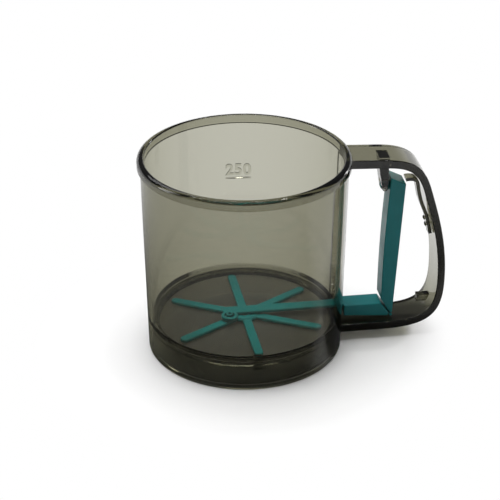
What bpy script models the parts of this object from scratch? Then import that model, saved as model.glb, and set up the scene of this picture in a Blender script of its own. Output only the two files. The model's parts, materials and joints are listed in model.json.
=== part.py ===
"""Hand-held flour sifter: squeezing the trigger in the handle swings a six-armed stirrer over a mesh."""
import math

import bmesh
import bpy
from mathutils import Matrix, Vector

MM = 0.001

# General fits
GAP = 0.3 * MM                  # between pieces that seat on each other
PIN_CLEARANCE = 0.25 * MM       # round a pin, stud or peg in its hole
TURN_STEPS = 72                 # facets of the large turned pieces
SMALL_STEPS = 20                # facets of pins, holes and washers
SHARP = math.radians(35)        # edges steeper than this stay crisp

# Cup, measured from the table and from its own axis
CUP_HEIGHT = 103.5 * MM
CUP_TOP_RADIUS = 50.9 * MM      # outside, under the lip
CUP_BASE_RADIUS = 49.1 * MM     # outside, at the table
WALL = 2.1 * MM
LIP_OVERHANG = 1.6 * MM
LIP_HEIGHT = 5.1 * MM
LIP_ROUND = 1.1 * MM
BASE_CHAMFER = 0.5 * MM
LEDGE_DEPTH = 1.4 * MM
LEDGE_HEIGHT = 1.2 * MM
SNAP_BEAD = 0.7 * MM
KEY_WIDTH = 4.0 * MM
KEY_DEPTH = 1.3 * MM
KEY_DROP = 5.5 * MM             # reach of the key below the ledge
KEY_RISE = 2.2 * MM             # reach of the key above the ledge

# Sieve, from the table up
BASE_RING_LIFT = 2.2 * MM
BASE_RING_WIDTH = 2.1 * MM
MESH_HEIGHT = 12.8 * MM
MESH_THICKNESS = 0.4 * MM
MESH_PITCH = 5.4 * MM
MESH_WIRE = 1.2 * MM
CLAMP_RING_WIDTH = 3.4 * MM
CLAMP_RING_HEIGHT = 2.3 * MM
WASHER_RADIUS = 5.0 * MM
WASHER_THICKNESS = 0.5 * MM
STUD_RADIUS = 1.8 * MM
STUD_HEAD_RADIUS = 3.2 * MM
STUD_HEAD_HEIGHT = 0.6 * MM

# Stirrer
STIRRER_ARMS = 6
STIRRER_CLEARANCE = 2.8 * MM    # arm tips to the clamp ring
STIRRER_ARM_WIDTH = 4.5 * MM
STIRRER_THICKNESS = 2.0 * MM
STIRRER_LIFT = 0.4 * MM         # above the mesh
STIRRER_EDGE = 0.4 * MM         # rounding of its edges
HUB_RADIUS = 7.4 * MM
HUB_RISE = 0.2 * MM
CRANK_RADIUS = 10.0 * MM
CRANK_ANGLE = math.radians(212.4)
POST_RADIUS = 1.75 * MM
POST_BORE = 0.9 * MM
POST_BORE_DEPTH = 2.2 * MM
POST_RISE = 0.8 * MM            # above the rod's eye

# Push rod
ROD_CLEARANCE = 0.35 * MM       # above the hub and the clamp ring
ROD_ARM_WIDTH = 6.3 * MM
ROD_ARM_THICKNESS = 1.6 * MM
ROD_ARM_OVERRUN = 11.5 * MM     # past the cup's axis
ROD_BAR_WIDTH = 10.6 * MM
ROD_BAR_DEPTH = 5.8 * MM        # at its cup end
ROD_STANDOFF = 1.2 * MM         # cup end of the bar to the wall
EYE_WALL = 1.5 * MM
EYE_PLAY = 0.95 * MM            # slack that lets the crank swing round
WINDOW_PLAY = 2.8 * MM          # at each side of the rod's arm
WINDOW_DROP = 0.35 * MM         # under the rod's arm
WINDOW_RISE = 1.5 * MM          # over it, as the rod lifts when it is pulled

# Handle: a flat band bent into a D
HANDLE_WIDTH = 19.6 * MM
GRIP_STANDOFF = 48.9 * MM       # lip to the farthest point of the grip
ARM_DROP = 2.8 * MM             # top of the cup to the top of the upper arm at its bend
ARM_SLOPE = math.radians(2.5)   # the upper arm rises a little towards the cup
ARM_THICKNESS = 4.5 * MM
GRIP_THICKNESS = 3.8 * MM
FOOT_HEIGHT = 5.0 * MM          # underside of the lower arm
FOOT_THICKNESS = 4.3 * MM
TOP_BEND = 35.2 * MM            # how far before the grip each arm starts to bend
FOOT_BEND = 33.6 * MM
SHOULDER_INSET = 9.5 * MM
SHOULDER_DROP = 17.5 * MM
SHOULDER_SLOPE = math.radians(-72.5)
BELLY_RISE = 27.2 * MM          # lower arm to the farthest point of the grip
BAND_EDGE = 0.5 * MM
SADDLE_RECESS = 1.0 * MM        # seat cut into the cup wall
SADDLE_PROUD = 0.1 * MM
TAB_LENGTH = 5.8 * MM
TAB_HEIGHT = 3.9 * MM
TAB_RISE = 12.4 * MM            # lower arm to the middle of the tab
TAB_WIDTH = 3.8 * MM

# Trigger and its bracket
PIVOT_INSET = 31.8 * MM         # grip's farthest point to the pivot
PIVOT_DROP = 13.5 * MM          # upper arm's underside to the pivot
PIVOT_PIN_RADIUS = 0.8 * MM
BRACKET_TIP = 1.5 * MM
BRACKET_ROOT = 4.9 * MM
BRACKET_WIDTH = 9.0 * MM
BRACKET_POCKET = 1.2 * MM
TONGUE_WIDTH = 3.2 * MM
TONGUE_RADIUS = 1.9 * MM
TRIGGER_WIDTH = 11.0 * MM
TRIGGER_TOP_RISE = 5.9 * MM     # pivot to the inner top corner
TRIGGER_TOP_REACH = 2.7 * MM
TRIGGER_TOP_DEPTH = 7.6 * MM    # inner to outer top corner
TRIGGER_TOP_FALL = 3.8 * MM
TRIGGER_BELLY = 0.7 * MM        # bow of the side that faces the cup
TRIGGER_EDGE = 0.5 * MM
MITRE_WIDTH = 5.4 * MM          # inner to outer corner, along the rod
MITRE_GAP = 0.45 * MM
MITRE_WEDGE = math.radians(7)  # open while the trigger stands at rest
HINGE_REACH = 5.5 * MM          # pivot to hinge strip, outwards
HINGE_RADIUS = 0.75 * MM
HINGE_LIFT = 0.9 * MM           # hinge strip to the lower arm
SWAY_PLAY = 0.65 * MM           # round the hinge strip in the rod

# Return spring: a leaf along the inside of the grip, hooked over the trigger's shoulder
LEAF_THICKNESS = 1.8 * MM
LEAF_WIDTH = 5.5 * MM
LEAF_START = 27.4 * MM          # pivot down to the end of the foot
LEAF_FOOT = 10.5 * MM
LEAF_HEAD = 1.6 * MM            # pivot up to the start of the hook
LEAF_BOW = 0.9 * MM
HOOK_PULL = 2.3 * MM            # how round the hook is
PEG_RADIUS = 0.8 * MM
PEG_HEAD_RADIUS = 1.3 * MM
PEG_HEAD_HEIGHT = 0.7 * MM
PEG_DEPTH = 1.8 * MM

# Levels and places that follow from the sizes above
mesh_top = MESH_HEIGHT + MESH_THICKNESS
clamp_low = mesh_top + GAP
clamp_top = clamp_low + CLAMP_RING_HEIGHT
ledge_low = clamp_top + GAP
star_low = mesh_top + max(STIRRER_LIFT, GAP)
star_top = star_low + STIRRER_THICKNESS
washer_low = mesh_top + GAP
hub_floor = washer_low + WASHER_THICKNESS + GAP
stud_head_low = hub_floor + STIRRER_THICKNESS / 2
hub_top = max(star_top + HUB_RISE, stud_head_low + STUD_HEAD_HEIGHT)
rod_low = max(hub_top, clamp_top) + ROD_CLEARANCE
rod_top = rod_low + ROD_ARM_THICKNESS
lip_low = CUP_HEIGHT - LIP_HEIGHT
lip_radius = CUP_TOP_RADIUS + LIP_OVERHANG
grip_reach = lip_radius + GRIP_STANDOFF
arm_top = CUP_HEIGHT - ARM_DROP
arm_low = arm_top - ARM_THICKNESS
foot_top = FOOT_HEIGHT + FOOT_THICKNESS
pivot = Vector((grip_reach - PIVOT_INSET, 0, arm_low - PIVOT_DROP))
hinge = Vector((pivot.x + HINGE_REACH, 0, foot_top + HINGE_LIFT + HINGE_RADIUS))
crank = Vector((CRANK_RADIUS * math.cos(CRANK_ANGLE), CRANK_RADIUS * math.sin(CRANK_ANGLE), 0))
cup_axis_x = (lip_radius - grip_reach) / 2


def outer_radius(height):
    """Outside of the cup wall, which narrows a little towards the table."""
    return CUP_BASE_RADIUS + (CUP_TOP_RADIUS - CUP_BASE_RADIUS) * height / lip_low


def inner_radius(height):
    return outer_radius(height) - WALL


ring_radius = inner_radius(MESH_HEIGHT / 2) - GAP
stirrer_radius = ring_radius - CLAMP_RING_WIDTH - STIRRER_CLEARANCE
bar_start = outer_radius(rod_top) + SADDLE_PROUD + ROD_STANDOFF

for old in list(bpy.data.objects):
    bpy.data.objects.remove(old)
parts = bpy.data.collections.new("flour_sifter")
cutters = bpy.data.collections.new("cutters")
for group in (parts, cutters):
    bpy.context.scene.collection.children.link(group)


def finish(name, colour, roughness, metallic=0.0, transmission=0.0):
    material = bpy.data.materials.new(name)
    material.use_nodes = True
    shader = material.node_tree.nodes["Principled BSDF"]
    shader.inputs["Base Color"].default_value = (*colour, 1.0)
    shader.inputs["Roughness"].default_value = roughness
    shader.inputs["Metallic"].default_value = metallic
    shader.inputs["Transmission Weight"].default_value = transmission
    return material


smoky = finish("smoky_clear_plastic", (0.36, 0.35, 0.27), 0.06, transmission=0.9)
teal = finish("teal_plastic", (0.012, 0.10, 0.11), 0.38)
mesh_steel = finish("woven_steel", (0.55, 0.55, 0.53), 0.35, metallic=1.0)
plain_steel = finish("plain_steel", (0.62, 0.62, 0.60), 0.25, metallic=1.0)


def empty(name, point, parent=None):
    axis = bpy.data.objects.new(name, None)
    parts.objects.link(axis)
    axis.empty_display_size = 5 * MM
    axis.location = point
    axis.parent = parent
    return axis


cup_axis = empty("cup_axis", (cup_axis_x, 0, 0))
trigger_axis = empty("trigger_axis", pivot, cup_axis)
hinge_axis = empty("hinge_axis", hinge, cup_axis)
stirrer_axis = empty("stirrer_axis", (0, 0, star_low), cup_axis)


def place(piece, axis, material=None):
    """Hang a piece on an empty; its mesh keeps the cup's own axis as its zero."""
    piece.parent = axis
    piece.location = (0, 0, 0) if axis is cup_axis else -axis.location
    if material:
        piece.data.materials.clear()
        piece.data.materials.append(material)
        piece.data.shade_smooth()
        piece.data.set_sharp_from_angle(angle=SHARP)
    return piece


def new_piece(name, mesh, group):
    piece = bpy.data.objects.new(name, mesh)
    group.objects.link(piece)
    if group is cutters:
        piece.hide_render = True
        piece.display_type = "WIRE"
    return place(piece, cup_axis)


def mesh_from(build, matrix=Matrix()):
    """A mesh filled by one bmesh primitive call and moved by a matrix."""
    mesh = bpy.data.meshes.new("shape")
    bm = bmesh.new()
    build(bm)
    bm.transform(matrix)
    bm.to_mesh(mesh)
    bm.free()
    return mesh


def box(name, low, high, group=cutters):
    low, high = Vector(low), Vector(high)
    size = Matrix.Diagonal((*(high - low), 1))
    matrix = Matrix.Translation((low + high) / 2) @ size
    return new_piece(name, mesh_from(lambda bm: bmesh.ops.create_cube(bm, size=1), matrix), group)


def cylinder(name, start, end, radius, group=cutters):
    start, end = Vector(start), Vector(end)
    turn = (end - start).to_track_quat("Z", "Y").to_matrix().to_4x4()
    matrix = Matrix.Translation((start + end) / 2) @ turn

    def build(bm):
        bmesh.ops.create_cone(bm, cap_ends=True, segments=SMALL_STEPS, radius1=radius, radius2=radius,
                              depth=(end - start).length)
    return new_piece(name, mesh_from(build, matrix), group)


def turned(name, profile, group=parts, steps=TURN_STEPS, closed=True):
    """Turn a profile of (radius, height) points, listed down the outer side first, about the cup's axis."""
    mesh = bpy.data.meshes.new(name)
    count = len(profile)
    edges = [(i, (i + 1) % count) for i in range(count if closed else count - 1)]
    mesh.from_pydata([(radius, 0, height) for radius, height in profile], edges, [])
    piece = new_piece(name, mesh, group)
    screw = piece.modifiers.new("turn", "SCREW")
    screw.steps = screw.render_steps = steps
    screw.use_merge_vertices = True
    screw.merge_threshold = 0.00001
    screw.use_smooth_shade = True
    return piece


def plate(name, outline, half_depth, edge=0.0, upright=True, group=parts):
    """Extrude a flat outline both ways; upright ones are drawn in X and Z, the others in X and Y."""
    curve = bpy.data.curves.new(name, "CURVE")
    curve.dimensions = "2D"
    curve.fill_mode = "BOTH"
    curve.extrude = half_depth - edge
    curve.bevel_depth = edge
    curve.bevel_resolution = 1
    curve.offset = -edge
    spline = curve.splines.new("POLY")
    spline.points.add(len(outline) - 1)
    for point, (across, up) in zip(spline.points, outline):
        point.co = (across, up, 0, 1)
    spline.use_cyclic_u = True
    drawn = bpy.data.objects.new(name, curve)
    cutters.objects.link(drawn)
    bpy.context.view_layer.update()
    mesh = bpy.data.meshes.new_from_object(drawn.evaluated_get(bpy.context.evaluated_depsgraph_get()))
    bpy.data.objects.remove(drawn)
    bm = bmesh.new()
    bm.from_mesh(mesh)
    bmesh.ops.remove_doubles(bm, verts=bm.verts, dist=0.00001)
    if upright:
        bm.transform(Matrix.Rotation(math.pi / 2, 4, "X"))
    bmesh.ops.recalc_face_normals(bm, faces=bm.faces)
    bm.to_mesh(mesh)
    bm.free()
    return new_piece(name, mesh, group)


def boolean(piece, tool, operation="DIFFERENCE"):
    """Cut, join or keep the common part; a tool that was a part becomes a hidden cutter."""
    modifier = piece.modifiers.new(tool.name, "BOOLEAN")
    modifier.operation = operation
    modifier.object = tool
    if tool.name in parts.objects:
        parts.objects.unlink(tool)
        cutters.objects.link(tool)
    tool.hide_render = True
    tool.display_type = "WIRE"
    return piece


def arc(centre, radius, start, end, steps):
    """Points on a circle from one angle to another, both ends included."""
    angles = [start + (end - start) * i / steps for i in range(steps + 1)]
    return [(centre[0] + radius * math.cos(a), centre[1] + radius * math.sin(a)) for a in angles]


def bezier(start, start_handle, end_handle, end, steps):
    """Points along one cubic curve, without its last point."""
    points = []
    for i in range(steps):
        t = i / steps
        s = 1 - t
        points.append(tuple(s ** 3 * a + 3 * s * s * t * b + 3 * s * t * t * c + t ** 3 * d
                            for a, b, c, d in zip(start, start_handle, end_handle, end)))
    return points


def shifted(point, direction, length):
    return (point[0] + direction[0] * length, point[1] + direction[1] * length)


def build_cup():
    """The tub: lip, tapering wall, inner ledge over the sieve and a snap bead under it."""
    skirt = ring_radius + GAP
    wall_over = inner_radius(ledge_low + LEDGE_HEIGHT + LEDGE_DEPTH)
    corner = (lip_radius - LIP_ROUND, CUP_HEIGHT - LIP_ROUND)
    under = (lip_radius - LIP_ROUND, lip_low + LIP_ROUND)
    inside = (inner_radius(CUP_HEIGHT) + LIP_ROUND, CUP_HEIGHT - LIP_ROUND)
    profile = arc(corner, LIP_ROUND, math.pi / 2, 0, 3) + arc(under, LIP_ROUND, 0, -math.pi / 2, 3)
    profile += [
        (CUP_TOP_RADIUS, lip_low),
        (CUP_BASE_RADIUS, BASE_CHAMFER),
        (CUP_BASE_RADIUS - BASE_CHAMFER, 0),
        (skirt + BASE_CHAMFER / 2, 0),
        (skirt - SNAP_BEAD, BASE_RING_LIFT / 2),
        (skirt, BASE_RING_LIFT - GAP),
        (skirt, ledge_low),
        (skirt - LEDGE_DEPTH, ledge_low),
        (skirt - LEDGE_DEPTH, ledge_low + LEDGE_HEIGHT),
        (wall_over, ledge_low + LEDGE_HEIGHT + LEDGE_DEPTH),
    ]
    profile += arc(inside, LIP_ROUND, math.pi, math.pi / 2, 3)
    cup = turned("cup_body", profile)
    key = box("key_rib", (-KEY_WIDTH / 2, -skirt - WALL / 2, ledge_low - KEY_DROP),
              (KEY_WIDTH / 2, KEY_DEPTH - skirt, ledge_low + KEY_RISE))
    boolean(cup, key, "UNION")
    seat = saddle_ring("saddle_seat", -SADDLE_RECESS, WALL, GAP)
    boolean(cup, seat)
    return place(boolean(cup, rod_window()), cup_axis, smoky)


def rod_window():
    """The slot in the wall and in the saddle that the rod's arm slides and sways in."""
    half = ROD_ARM_WIDTH / 2 + WINDOW_PLAY
    if "rod_window" in bpy.data.objects:
        return bpy.data.objects["rod_window"]
    return box("rod_window", (ring_radius - CLAMP_RING_WIDTH, -half, rod_low - WINDOW_DROP),
               (bar_start, half, rod_top + WINDOW_RISE))


def saddle_ring(name, inner, outer, margin):
    """A strip of tube on the cup wall, as wide as the handle, grown by a margin on its edges."""
    low, high = FOOT_HEIGHT - margin, lip_low - 2 * GAP + margin
    ring = turned(name, [
        (outer_radius(high) + outer, high),
        (outer_radius(low) + outer, low),
        (outer_radius(low) + inner, low),
        (outer_radius(high) + inner, high),
    ], cutters)
    half = HANDLE_WIDTH / 2 + margin
    keep = box(name + "_width", (0, -half, low - LIP_HEIGHT), (2 * lip_radius, half, CUP_HEIGHT))
    return boolean(ring, keep, "INTERSECT")


def band_edge(top_inset, grip_inset, foot_inset):
    """One edge of the handle band from the upper arm round the grip to the lower arm."""
    slope = (math.cos(SHOULDER_SLOPE), math.sin(SHOULDER_SLOPE))
    inward = (slope[1], -slope[0])
    outward = (math.cos(ARM_SLOPE), -math.sin(ARM_SLOPE))
    top = (grip_reach - TOP_BEND, arm_top - top_inset)
    shoulder = shifted((grip_reach - SHOULDER_INSET, arm_top - SHOULDER_DROP), inward, grip_inset)
    belly = (grip_reach - grip_inset, FOOT_HEIGHT + BELLY_RISE)
    foot = (grip_reach - FOOT_BEND, FOOT_HEIGHT + foot_inset)
    top_pull = 0.485 * TOP_BEND - 1.4 * grip_inset
    shoulder_pull = 0.36 * TOP_BEND + 0.2 * grip_inset
    side_pull = 0.37 * (shoulder[1] - belly[1])
    belly_pull = 0.805 * BELLY_RISE - 0.2 * grip_inset
    foot_pull = 0.77 * FOOT_BEND - 0.97 * foot_inset
    edge = [shifted(top, outward, -top[0])]
    over, under = shifted(top, outward, top_pull), shifted(shoulder, slope, -shoulder_pull)
    edge += bezier(top, over, under, shoulder, 7)
    over, under = shifted(shoulder, slope, side_pull), shifted(belly, (0, 1), side_pull)
    edge += bezier(shoulder, over, under, belly, 6)
    over, under = shifted(belly, (0, -1), belly_pull), shifted(foot, (1, 0), foot_pull)
    edge += bezier(belly, over, under, foot, 8)
    return edge + [foot, (0, foot[1])]


def build_handle():
    """Band, saddle and stop tab, relieved for the lip, the bracket's pocket, the rod and the pegs."""
    outside = band_edge(0, 0, 0)
    inside = band_edge(ARM_THICKNESS, GRIP_THICKNESS, FOOT_THICKNESS)
    handle = plate("handle_frame", outside + inside[::-1], HANDLE_WIDTH / 2, BAND_EDGE)
    saddle = saddle_ring("saddle", -WALL, SADDLE_PROUD, -BAND_EDGE)
    boolean(handle, saddle, "UNION")
    seat_high = lip_low - 2 * GAP
    clear = turned("cup_clearance", [
        (0, CUP_HEIGHT + LIP_HEIGHT),
        (lip_radius + GAP, CUP_HEIGHT + LIP_HEIGHT),
        (lip_radius + GAP, lip_low - GAP),
        (CUP_TOP_RADIUS + GAP, lip_low - GAP),
        (CUP_TOP_RADIUS + GAP, seat_high),
        (outer_radius(seat_high) - SADDLE_RECESS + GAP, seat_high),
        (outer_radius(0) - SADDLE_RECESS + GAP, 0),
        (0, 0),
    ], cutters, closed=False)
    boolean(handle, clear)
    boolean(handle, stop_tab(), "UNION")
    half = BRACKET_WIDTH / 2 + GAP
    tip = pivot.x + BRACKET_TIP + GAP
    boolean(handle, box("bracket_pocket", (tip - BRACKET_ROOT - 2 * GAP, -half, arm_low - ARM_THICKNESS / 2),
                        (tip, half, arm_low + BRACKET_POCKET + GAP)))
    boolean(handle, rod_window())
    for number, (point, outward) in enumerate(peg_places()):
        inner_end = point - outward * PEG_RADIUS
        hole = cylinder(f"peg_hole_{number}", inner_end, point + outward * (GAP + PEG_DEPTH),
                        PEG_RADIUS + PIN_CLEARANCE)
        boolean(handle, hole)
    return place(handle, cup_axis, smoky)


def grip_inside(height):
    """How far out the inner face of the grip lies at a height, and its direction there."""
    edge = band_edge(ARM_THICKNESS, GRIP_THICKNESS, FOOT_THICKNESS)
    for (x0, z0), (x1, z1) in zip(edge, edge[1:]):
        if z0 >= height > z1:
            t = (z0 - height) / (z0 - z1)
            along = Vector((x1 - x0, 0, z1 - z0)).normalized()
            return Vector((x0 + (x1 - x0) * t, 0, height)), along


def stop_tab():
    """Small over-travel stop in the lower corner of the grip."""
    middle = FOOT_HEIGHT + TAB_RISE
    low, high = middle - TAB_HEIGHT / 2, middle + TAB_HEIGHT / 2
    inner_end = grip_inside(middle)[0].x - TAB_LENGTH
    outline = [(inner_end, low), (inner_end, high)]
    outline += [(grip_inside(height)[0].x + GRIP_THICKNESS / 2, height) for height in (high, low)]
    return plate("stop_tab", outline, TAB_WIDTH / 2)


def build_bracket():
    """Two cheeks under the upper arm with the pivot pin's hole, blind at the front."""
    right, left = pivot.x + BRACKET_TIP, pivot.x + BRACKET_TIP - BRACKET_ROOT
    top = arm_low + BRACKET_POCKET
    outline = [(right, top), (right, pivot.z)]
    outline += arc((pivot.x, pivot.z), BRACKET_TIP, 0, -math.pi, 8)[1:]
    outline += [(left, arm_low - ARM_THICKNESS / 3), (left, top)]
    bracket = plate("pivot_bracket", outline, BRACKET_WIDTH / 2)
    half = TONGUE_WIDTH / 2 + GAP
    slot = box("tongue_slot", (left - BRACKET_ROOT, -half, pivot.z - 2 * TONGUE_RADIUS),
               (right + BRACKET_ROOT, half, pivot.z + 2 * TONGUE_RADIUS))
    boolean(bracket, slot)
    blind = BRACKET_WIDTH / 2 - BRACKET_TIP / 3
    hole = cylinder("pin_hole", pivot - Vector((0, blind, 0)), pivot + Vector((0, BRACKET_WIDTH, 0)),
                    PIVOT_PIN_RADIUS + PIN_CLEARANCE)
    return place(boolean(bracket, hole), cup_axis, smoky)


def build_pivot_pin():
    front = BRACKET_WIDTH / 2 - BRACKET_TIP / 3 - GAP
    pin = cylinder("trigger_pivot_pin", pivot - Vector((0, front, 0)),
                   pivot + Vector((0, BRACKET_WIDTH / 2, 0)), PIVOT_PIN_RADIUS, parts)
    return place(pin, cup_axis, plain_steel)


def mitre_line(turn, gap, reach=HINGE_RADIUS):
    """Inner end and hinge end of one face of the mitre, turned and set off from the hinge."""
    along = Vector((-MITRE_WIDTH, 0, rod_top - hinge.z))
    along = (Matrix.Rotation(turn, 3, "Y") @ along).normalized()
    start = hinge + Vector((-along.z, 0, along.x)) * gap
    inner = start + along * ((hinge.x - MITRE_WIDTH - start.x) / along.x)
    outer = start + along * reach
    return (inner.x, inner.z), (outer.x, outer.z)


def bowed(start, end, bow, steps=5):
    """Points from start towards end on a shallow curve that stands off to the left of the way."""
    start, end = Vector(start), Vector(end)
    along = end - start
    left = Vector((-along.y, along.x)).normalized()
    points = []
    for i in range(steps):
        t = i / steps
        points.append(tuple(start + along * t + left * (4 * bow * t * (1 - t))))
    return points


def trigger_corners():
    inner = (pivot.x + TRIGGER_TOP_REACH, pivot.z + TRIGGER_TOP_RISE)
    return inner, (inner[0] + TRIGGER_TOP_DEPTH, inner[1] - TRIGGER_TOP_FALL)


def build_trigger():
    """The squeeze bar: a tongue to the pivot at its top and a mitred lower end."""
    inner_top, outer_top = trigger_corners()
    seat, half_gap = HINGE_RADIUS + GAP, MITRE_GAP / 2
    mitre_inner, mitre_outer = mitre_line(MITRE_WEDGE, -half_gap, math.sqrt(seat ** 2 - half_gap ** 2))
    outer_low = (hinge.x + HINGE_RADIUS, hinge.z + 2 * HINGE_RADIUS)
    seat_start = math.atan2(mitre_outer[1] - hinge.z, mitre_outer[0] - hinge.x)
    seat_end = math.atan2(outer_low[1] - hinge.z, outer_low[0] - hinge.x)
    outline = [outer_top] + bowed(inner_top, mitre_inner, -TRIGGER_BELLY)
    outline += [mitre_inner] + arc((hinge.x, hinge.z), seat, seat_start, seat_end, 4) + [outer_low]
    trigger = plate("trigger_lever", outline, TRIGGER_WIDTH / 2, TRIGGER_EDGE)
    root = pivot.x + TRIGGER_TOP_REACH + TRIGGER_TOP_FALL / 2
    tongue_outline = arc((pivot.x, pivot.z), TONGUE_RADIUS, math.pi / 2, 3 * math.pi / 2, 8)
    tongue_outline += [(root, pivot.z - TONGUE_RADIUS), (root, pivot.z + TONGUE_RADIUS)]
    boolean(trigger, plate("tongue", tongue_outline, TONGUE_WIDTH / 2), "UNION")
    side = Vector((0, TRIGGER_WIDTH, 0))
    boolean(trigger, cylinder("tongue_hole", pivot - side, pivot + side, PIVOT_PIN_RADIUS + PIN_CLEARANCE))
    return place(trigger, trigger_axis, teal)


def build_hinge_strip():
    """The bendable bead of plastic that joins trigger and rod at the outer end of the mitre."""
    side = Vector((0, ROD_BAR_WIDTH / 2, 0))
    return place(cylinder("hinge_strip", hinge - side, hinge + side, HINGE_RADIUS, parts), hinge_axis, teal)


def build_rod():
    """Bar in the handle, thin arm through the wall and an eye over the crank post."""
    mitre_inner, mitre_outer = mitre_line(0, MITRE_GAP / 2)
    low = hinge.z - HINGE_RADIUS
    outline = [
        mitre_outer,
        (mitre_inner[0], rod_top),
        (bar_start, rod_top),
        (bar_start, rod_top - ROD_BAR_DEPTH),
        (hinge.x - HINGE_RADIUS - SWAY_PLAY, low),
    ]
    rod = plate("push_rod", outline, ROD_BAR_WIDTH / 2, TRIGGER_EDGE)
    half = ROD_ARM_WIDTH / 2
    arm_end = arc((crank.x, 0), half, math.pi, 3 * math.pi / 2, 3)
    reach = bar_start + ROD_BAR_DEPTH
    arm_outline = [(reach, half), (-ROD_ARM_OVERRUN, half)] + arm_end + [(reach, -half)]
    arm = plate("rod_arm", arm_outline, ROD_ARM_THICKNESS / 2, upright=False)
    arm.data.transform(Matrix.Translation((0, 0, rod_low + ROD_ARM_THICKNESS / 2)))
    boolean(rod, arm, "UNION")
    low_end, high_end = Vector((crank.x, crank.y, rod_low)), Vector((crank.x, crank.y, rod_top + HUB_RISE))
    hole = POST_RADIUS + EYE_PLAY
    boolean(rod, cylinder("rod_eye", low_end, high_end, hole + EYE_WALL, parts), "UNION")
    through = Vector((0, 0, ROD_ARM_THICKNESS))
    boolean(rod, cylinder("eye_hole", low_end - through, high_end + through, hole))
    side = Vector((0, ROD_BAR_WIDTH, 0))
    boolean(rod, cylinder("rod_hinge_seat", hinge - side, hinge + side, HINGE_RADIUS + SWAY_PLAY))
    return place(rod, hinge_axis, teal)


def star_outline():
    """Hub circle with evenly spaced round-ended arms, one of which carries the crank post."""
    half = STIRRER_ARM_WIDTH / 2
    root = math.asin(half / HUB_RADIUS)
    pitch = 2 * math.pi / STIRRER_ARMS
    outline = []
    for number in range(STIRRER_ARMS):
        angle = CRANK_ANGLE + number * pitch
        tip = (stirrer_radius - half) * math.cos(angle), (stirrer_radius - half) * math.sin(angle)
        outline += arc(tip, half, angle - math.pi / 2, angle + math.pi / 2, 4)
        outline += arc((0, 0), HUB_RADIUS, angle + root, angle + pitch - root, 2)
    return outline


def build_stirrer():
    """The star, with a raised hub that turns on the stud and a hollow crank post."""
    star = plate("stirrer_star", star_outline(), STIRRER_THICKNESS / 2, STIRRER_EDGE, upright=False)
    star.data.transform(Matrix.Translation((0, 0, star_low + STIRRER_THICKNESS / 2)))
    middle = (0, 0, star_low + STIRRER_THICKNESS / 2)
    boolean(star, cylinder("hub_rise", middle, (0, 0, hub_top), HUB_RADIUS - STIRRER_EDGE, parts), "UNION")
    post_top = rod_top + HUB_RISE + POST_RISE
    post_end = crank + Vector((0, 0, post_top))
    boolean(star, cylinder("crank_post", crank + Vector(middle), post_end, POST_RADIUS, parts), "UNION")
    boolean(star, cylinder("post_bore", crank + Vector((0, 0, post_top - POST_BORE_DEPTH)),
                           post_end + Vector((0, 0, POST_RISE)), POST_BORE))
    boolean(star, cylinder("washer_relief", (0, 0, star_low - STIRRER_THICKNESS), (0, 0, hub_floor),
                           WASHER_RADIUS + GAP))
    boolean(star, cylinder("stud_hole", (0, 0, star_low), (0, 0, hub_top), STUD_RADIUS + PIN_CLEARANCE))
    boolean(star, cylinder("head_relief", (0, 0, stud_head_low - GAP), (0, 0, hub_top + HUB_RISE),
                           STUD_HEAD_RADIUS + GAP))
    return place(star, stirrer_axis, teal)


def build_stud():
    """Headed stud through the middle of the mesh, with its foot under the lower washer."""
    foot_high = MESH_HEIGHT - 2 * GAP - WASHER_THICKNESS
    profile = [
        (0, stud_head_low + STUD_HEAD_HEIGHT),
        (STUD_HEAD_RADIUS, stud_head_low + STUD_HEAD_HEIGHT),
        (STUD_HEAD_RADIUS, stud_head_low),
        (STUD_RADIUS, stud_head_low),
        (STUD_RADIUS, foot_high),
        (STUD_HEAD_RADIUS, foot_high),
        (STUD_HEAD_RADIUS, foot_high - STUD_HEAD_HEIGHT),
        (0, foot_high - STUD_HEAD_HEIGHT),
    ]
    return place(turned("pivot_stud", profile, steps=SMALL_STEPS, closed=False), cup_axis, plain_steel)


def build_washer(name, low):
    hole = STUD_RADIUS + PIN_CLEARANCE
    high = low + WASHER_THICKNESS
    profile = [(WASHER_RADIUS, high), (WASHER_RADIUS, low), (hole, low), (hole, high)]
    return place(turned(name, profile, steps=SMALL_STEPS), cup_axis, plain_steel)


def key_notch():
    """Room for the cup's key rib in both sieve rings."""
    if "key_notch" in bpy.data.objects:
        return bpy.data.objects["key_notch"]
    half = KEY_WIDTH / 2 + GAP
    return box("key_notch", (-half, -ring_radius - WALL, ledge_low - KEY_DROP - GAP),
               (half, KEY_DEPTH - ring_radius, ledge_low + KEY_RISE))


def build_base_ring():
    """Ring under the mesh, held up by the cup's snap bead."""
    low, high = BASE_RING_LIFT, MESH_HEIGHT - GAP
    inside = ring_radius - BASE_RING_WIDTH
    profile = [(ring_radius, high), (ring_radius, low), (inside, low), (inside, high)]
    return place(boolean(turned("sieve_base_ring", profile), key_notch()), cup_axis, smoky)


def build_clamp_ring():
    """Ring over the mesh edge, under the cup's ledge."""
    inside = ring_radius - CLAMP_RING_WIDTH
    lean = CLAMP_RING_HEIGHT / 3
    profile = [(ring_radius, clamp_top), (ring_radius, clamp_low), (inside, clamp_low),
               (inside, clamp_low + lean), (inside + lean, clamp_top)]
    return place(boolean(turned("sieve_clamp_ring", profile), key_notch()), cup_axis, smoky)


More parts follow.
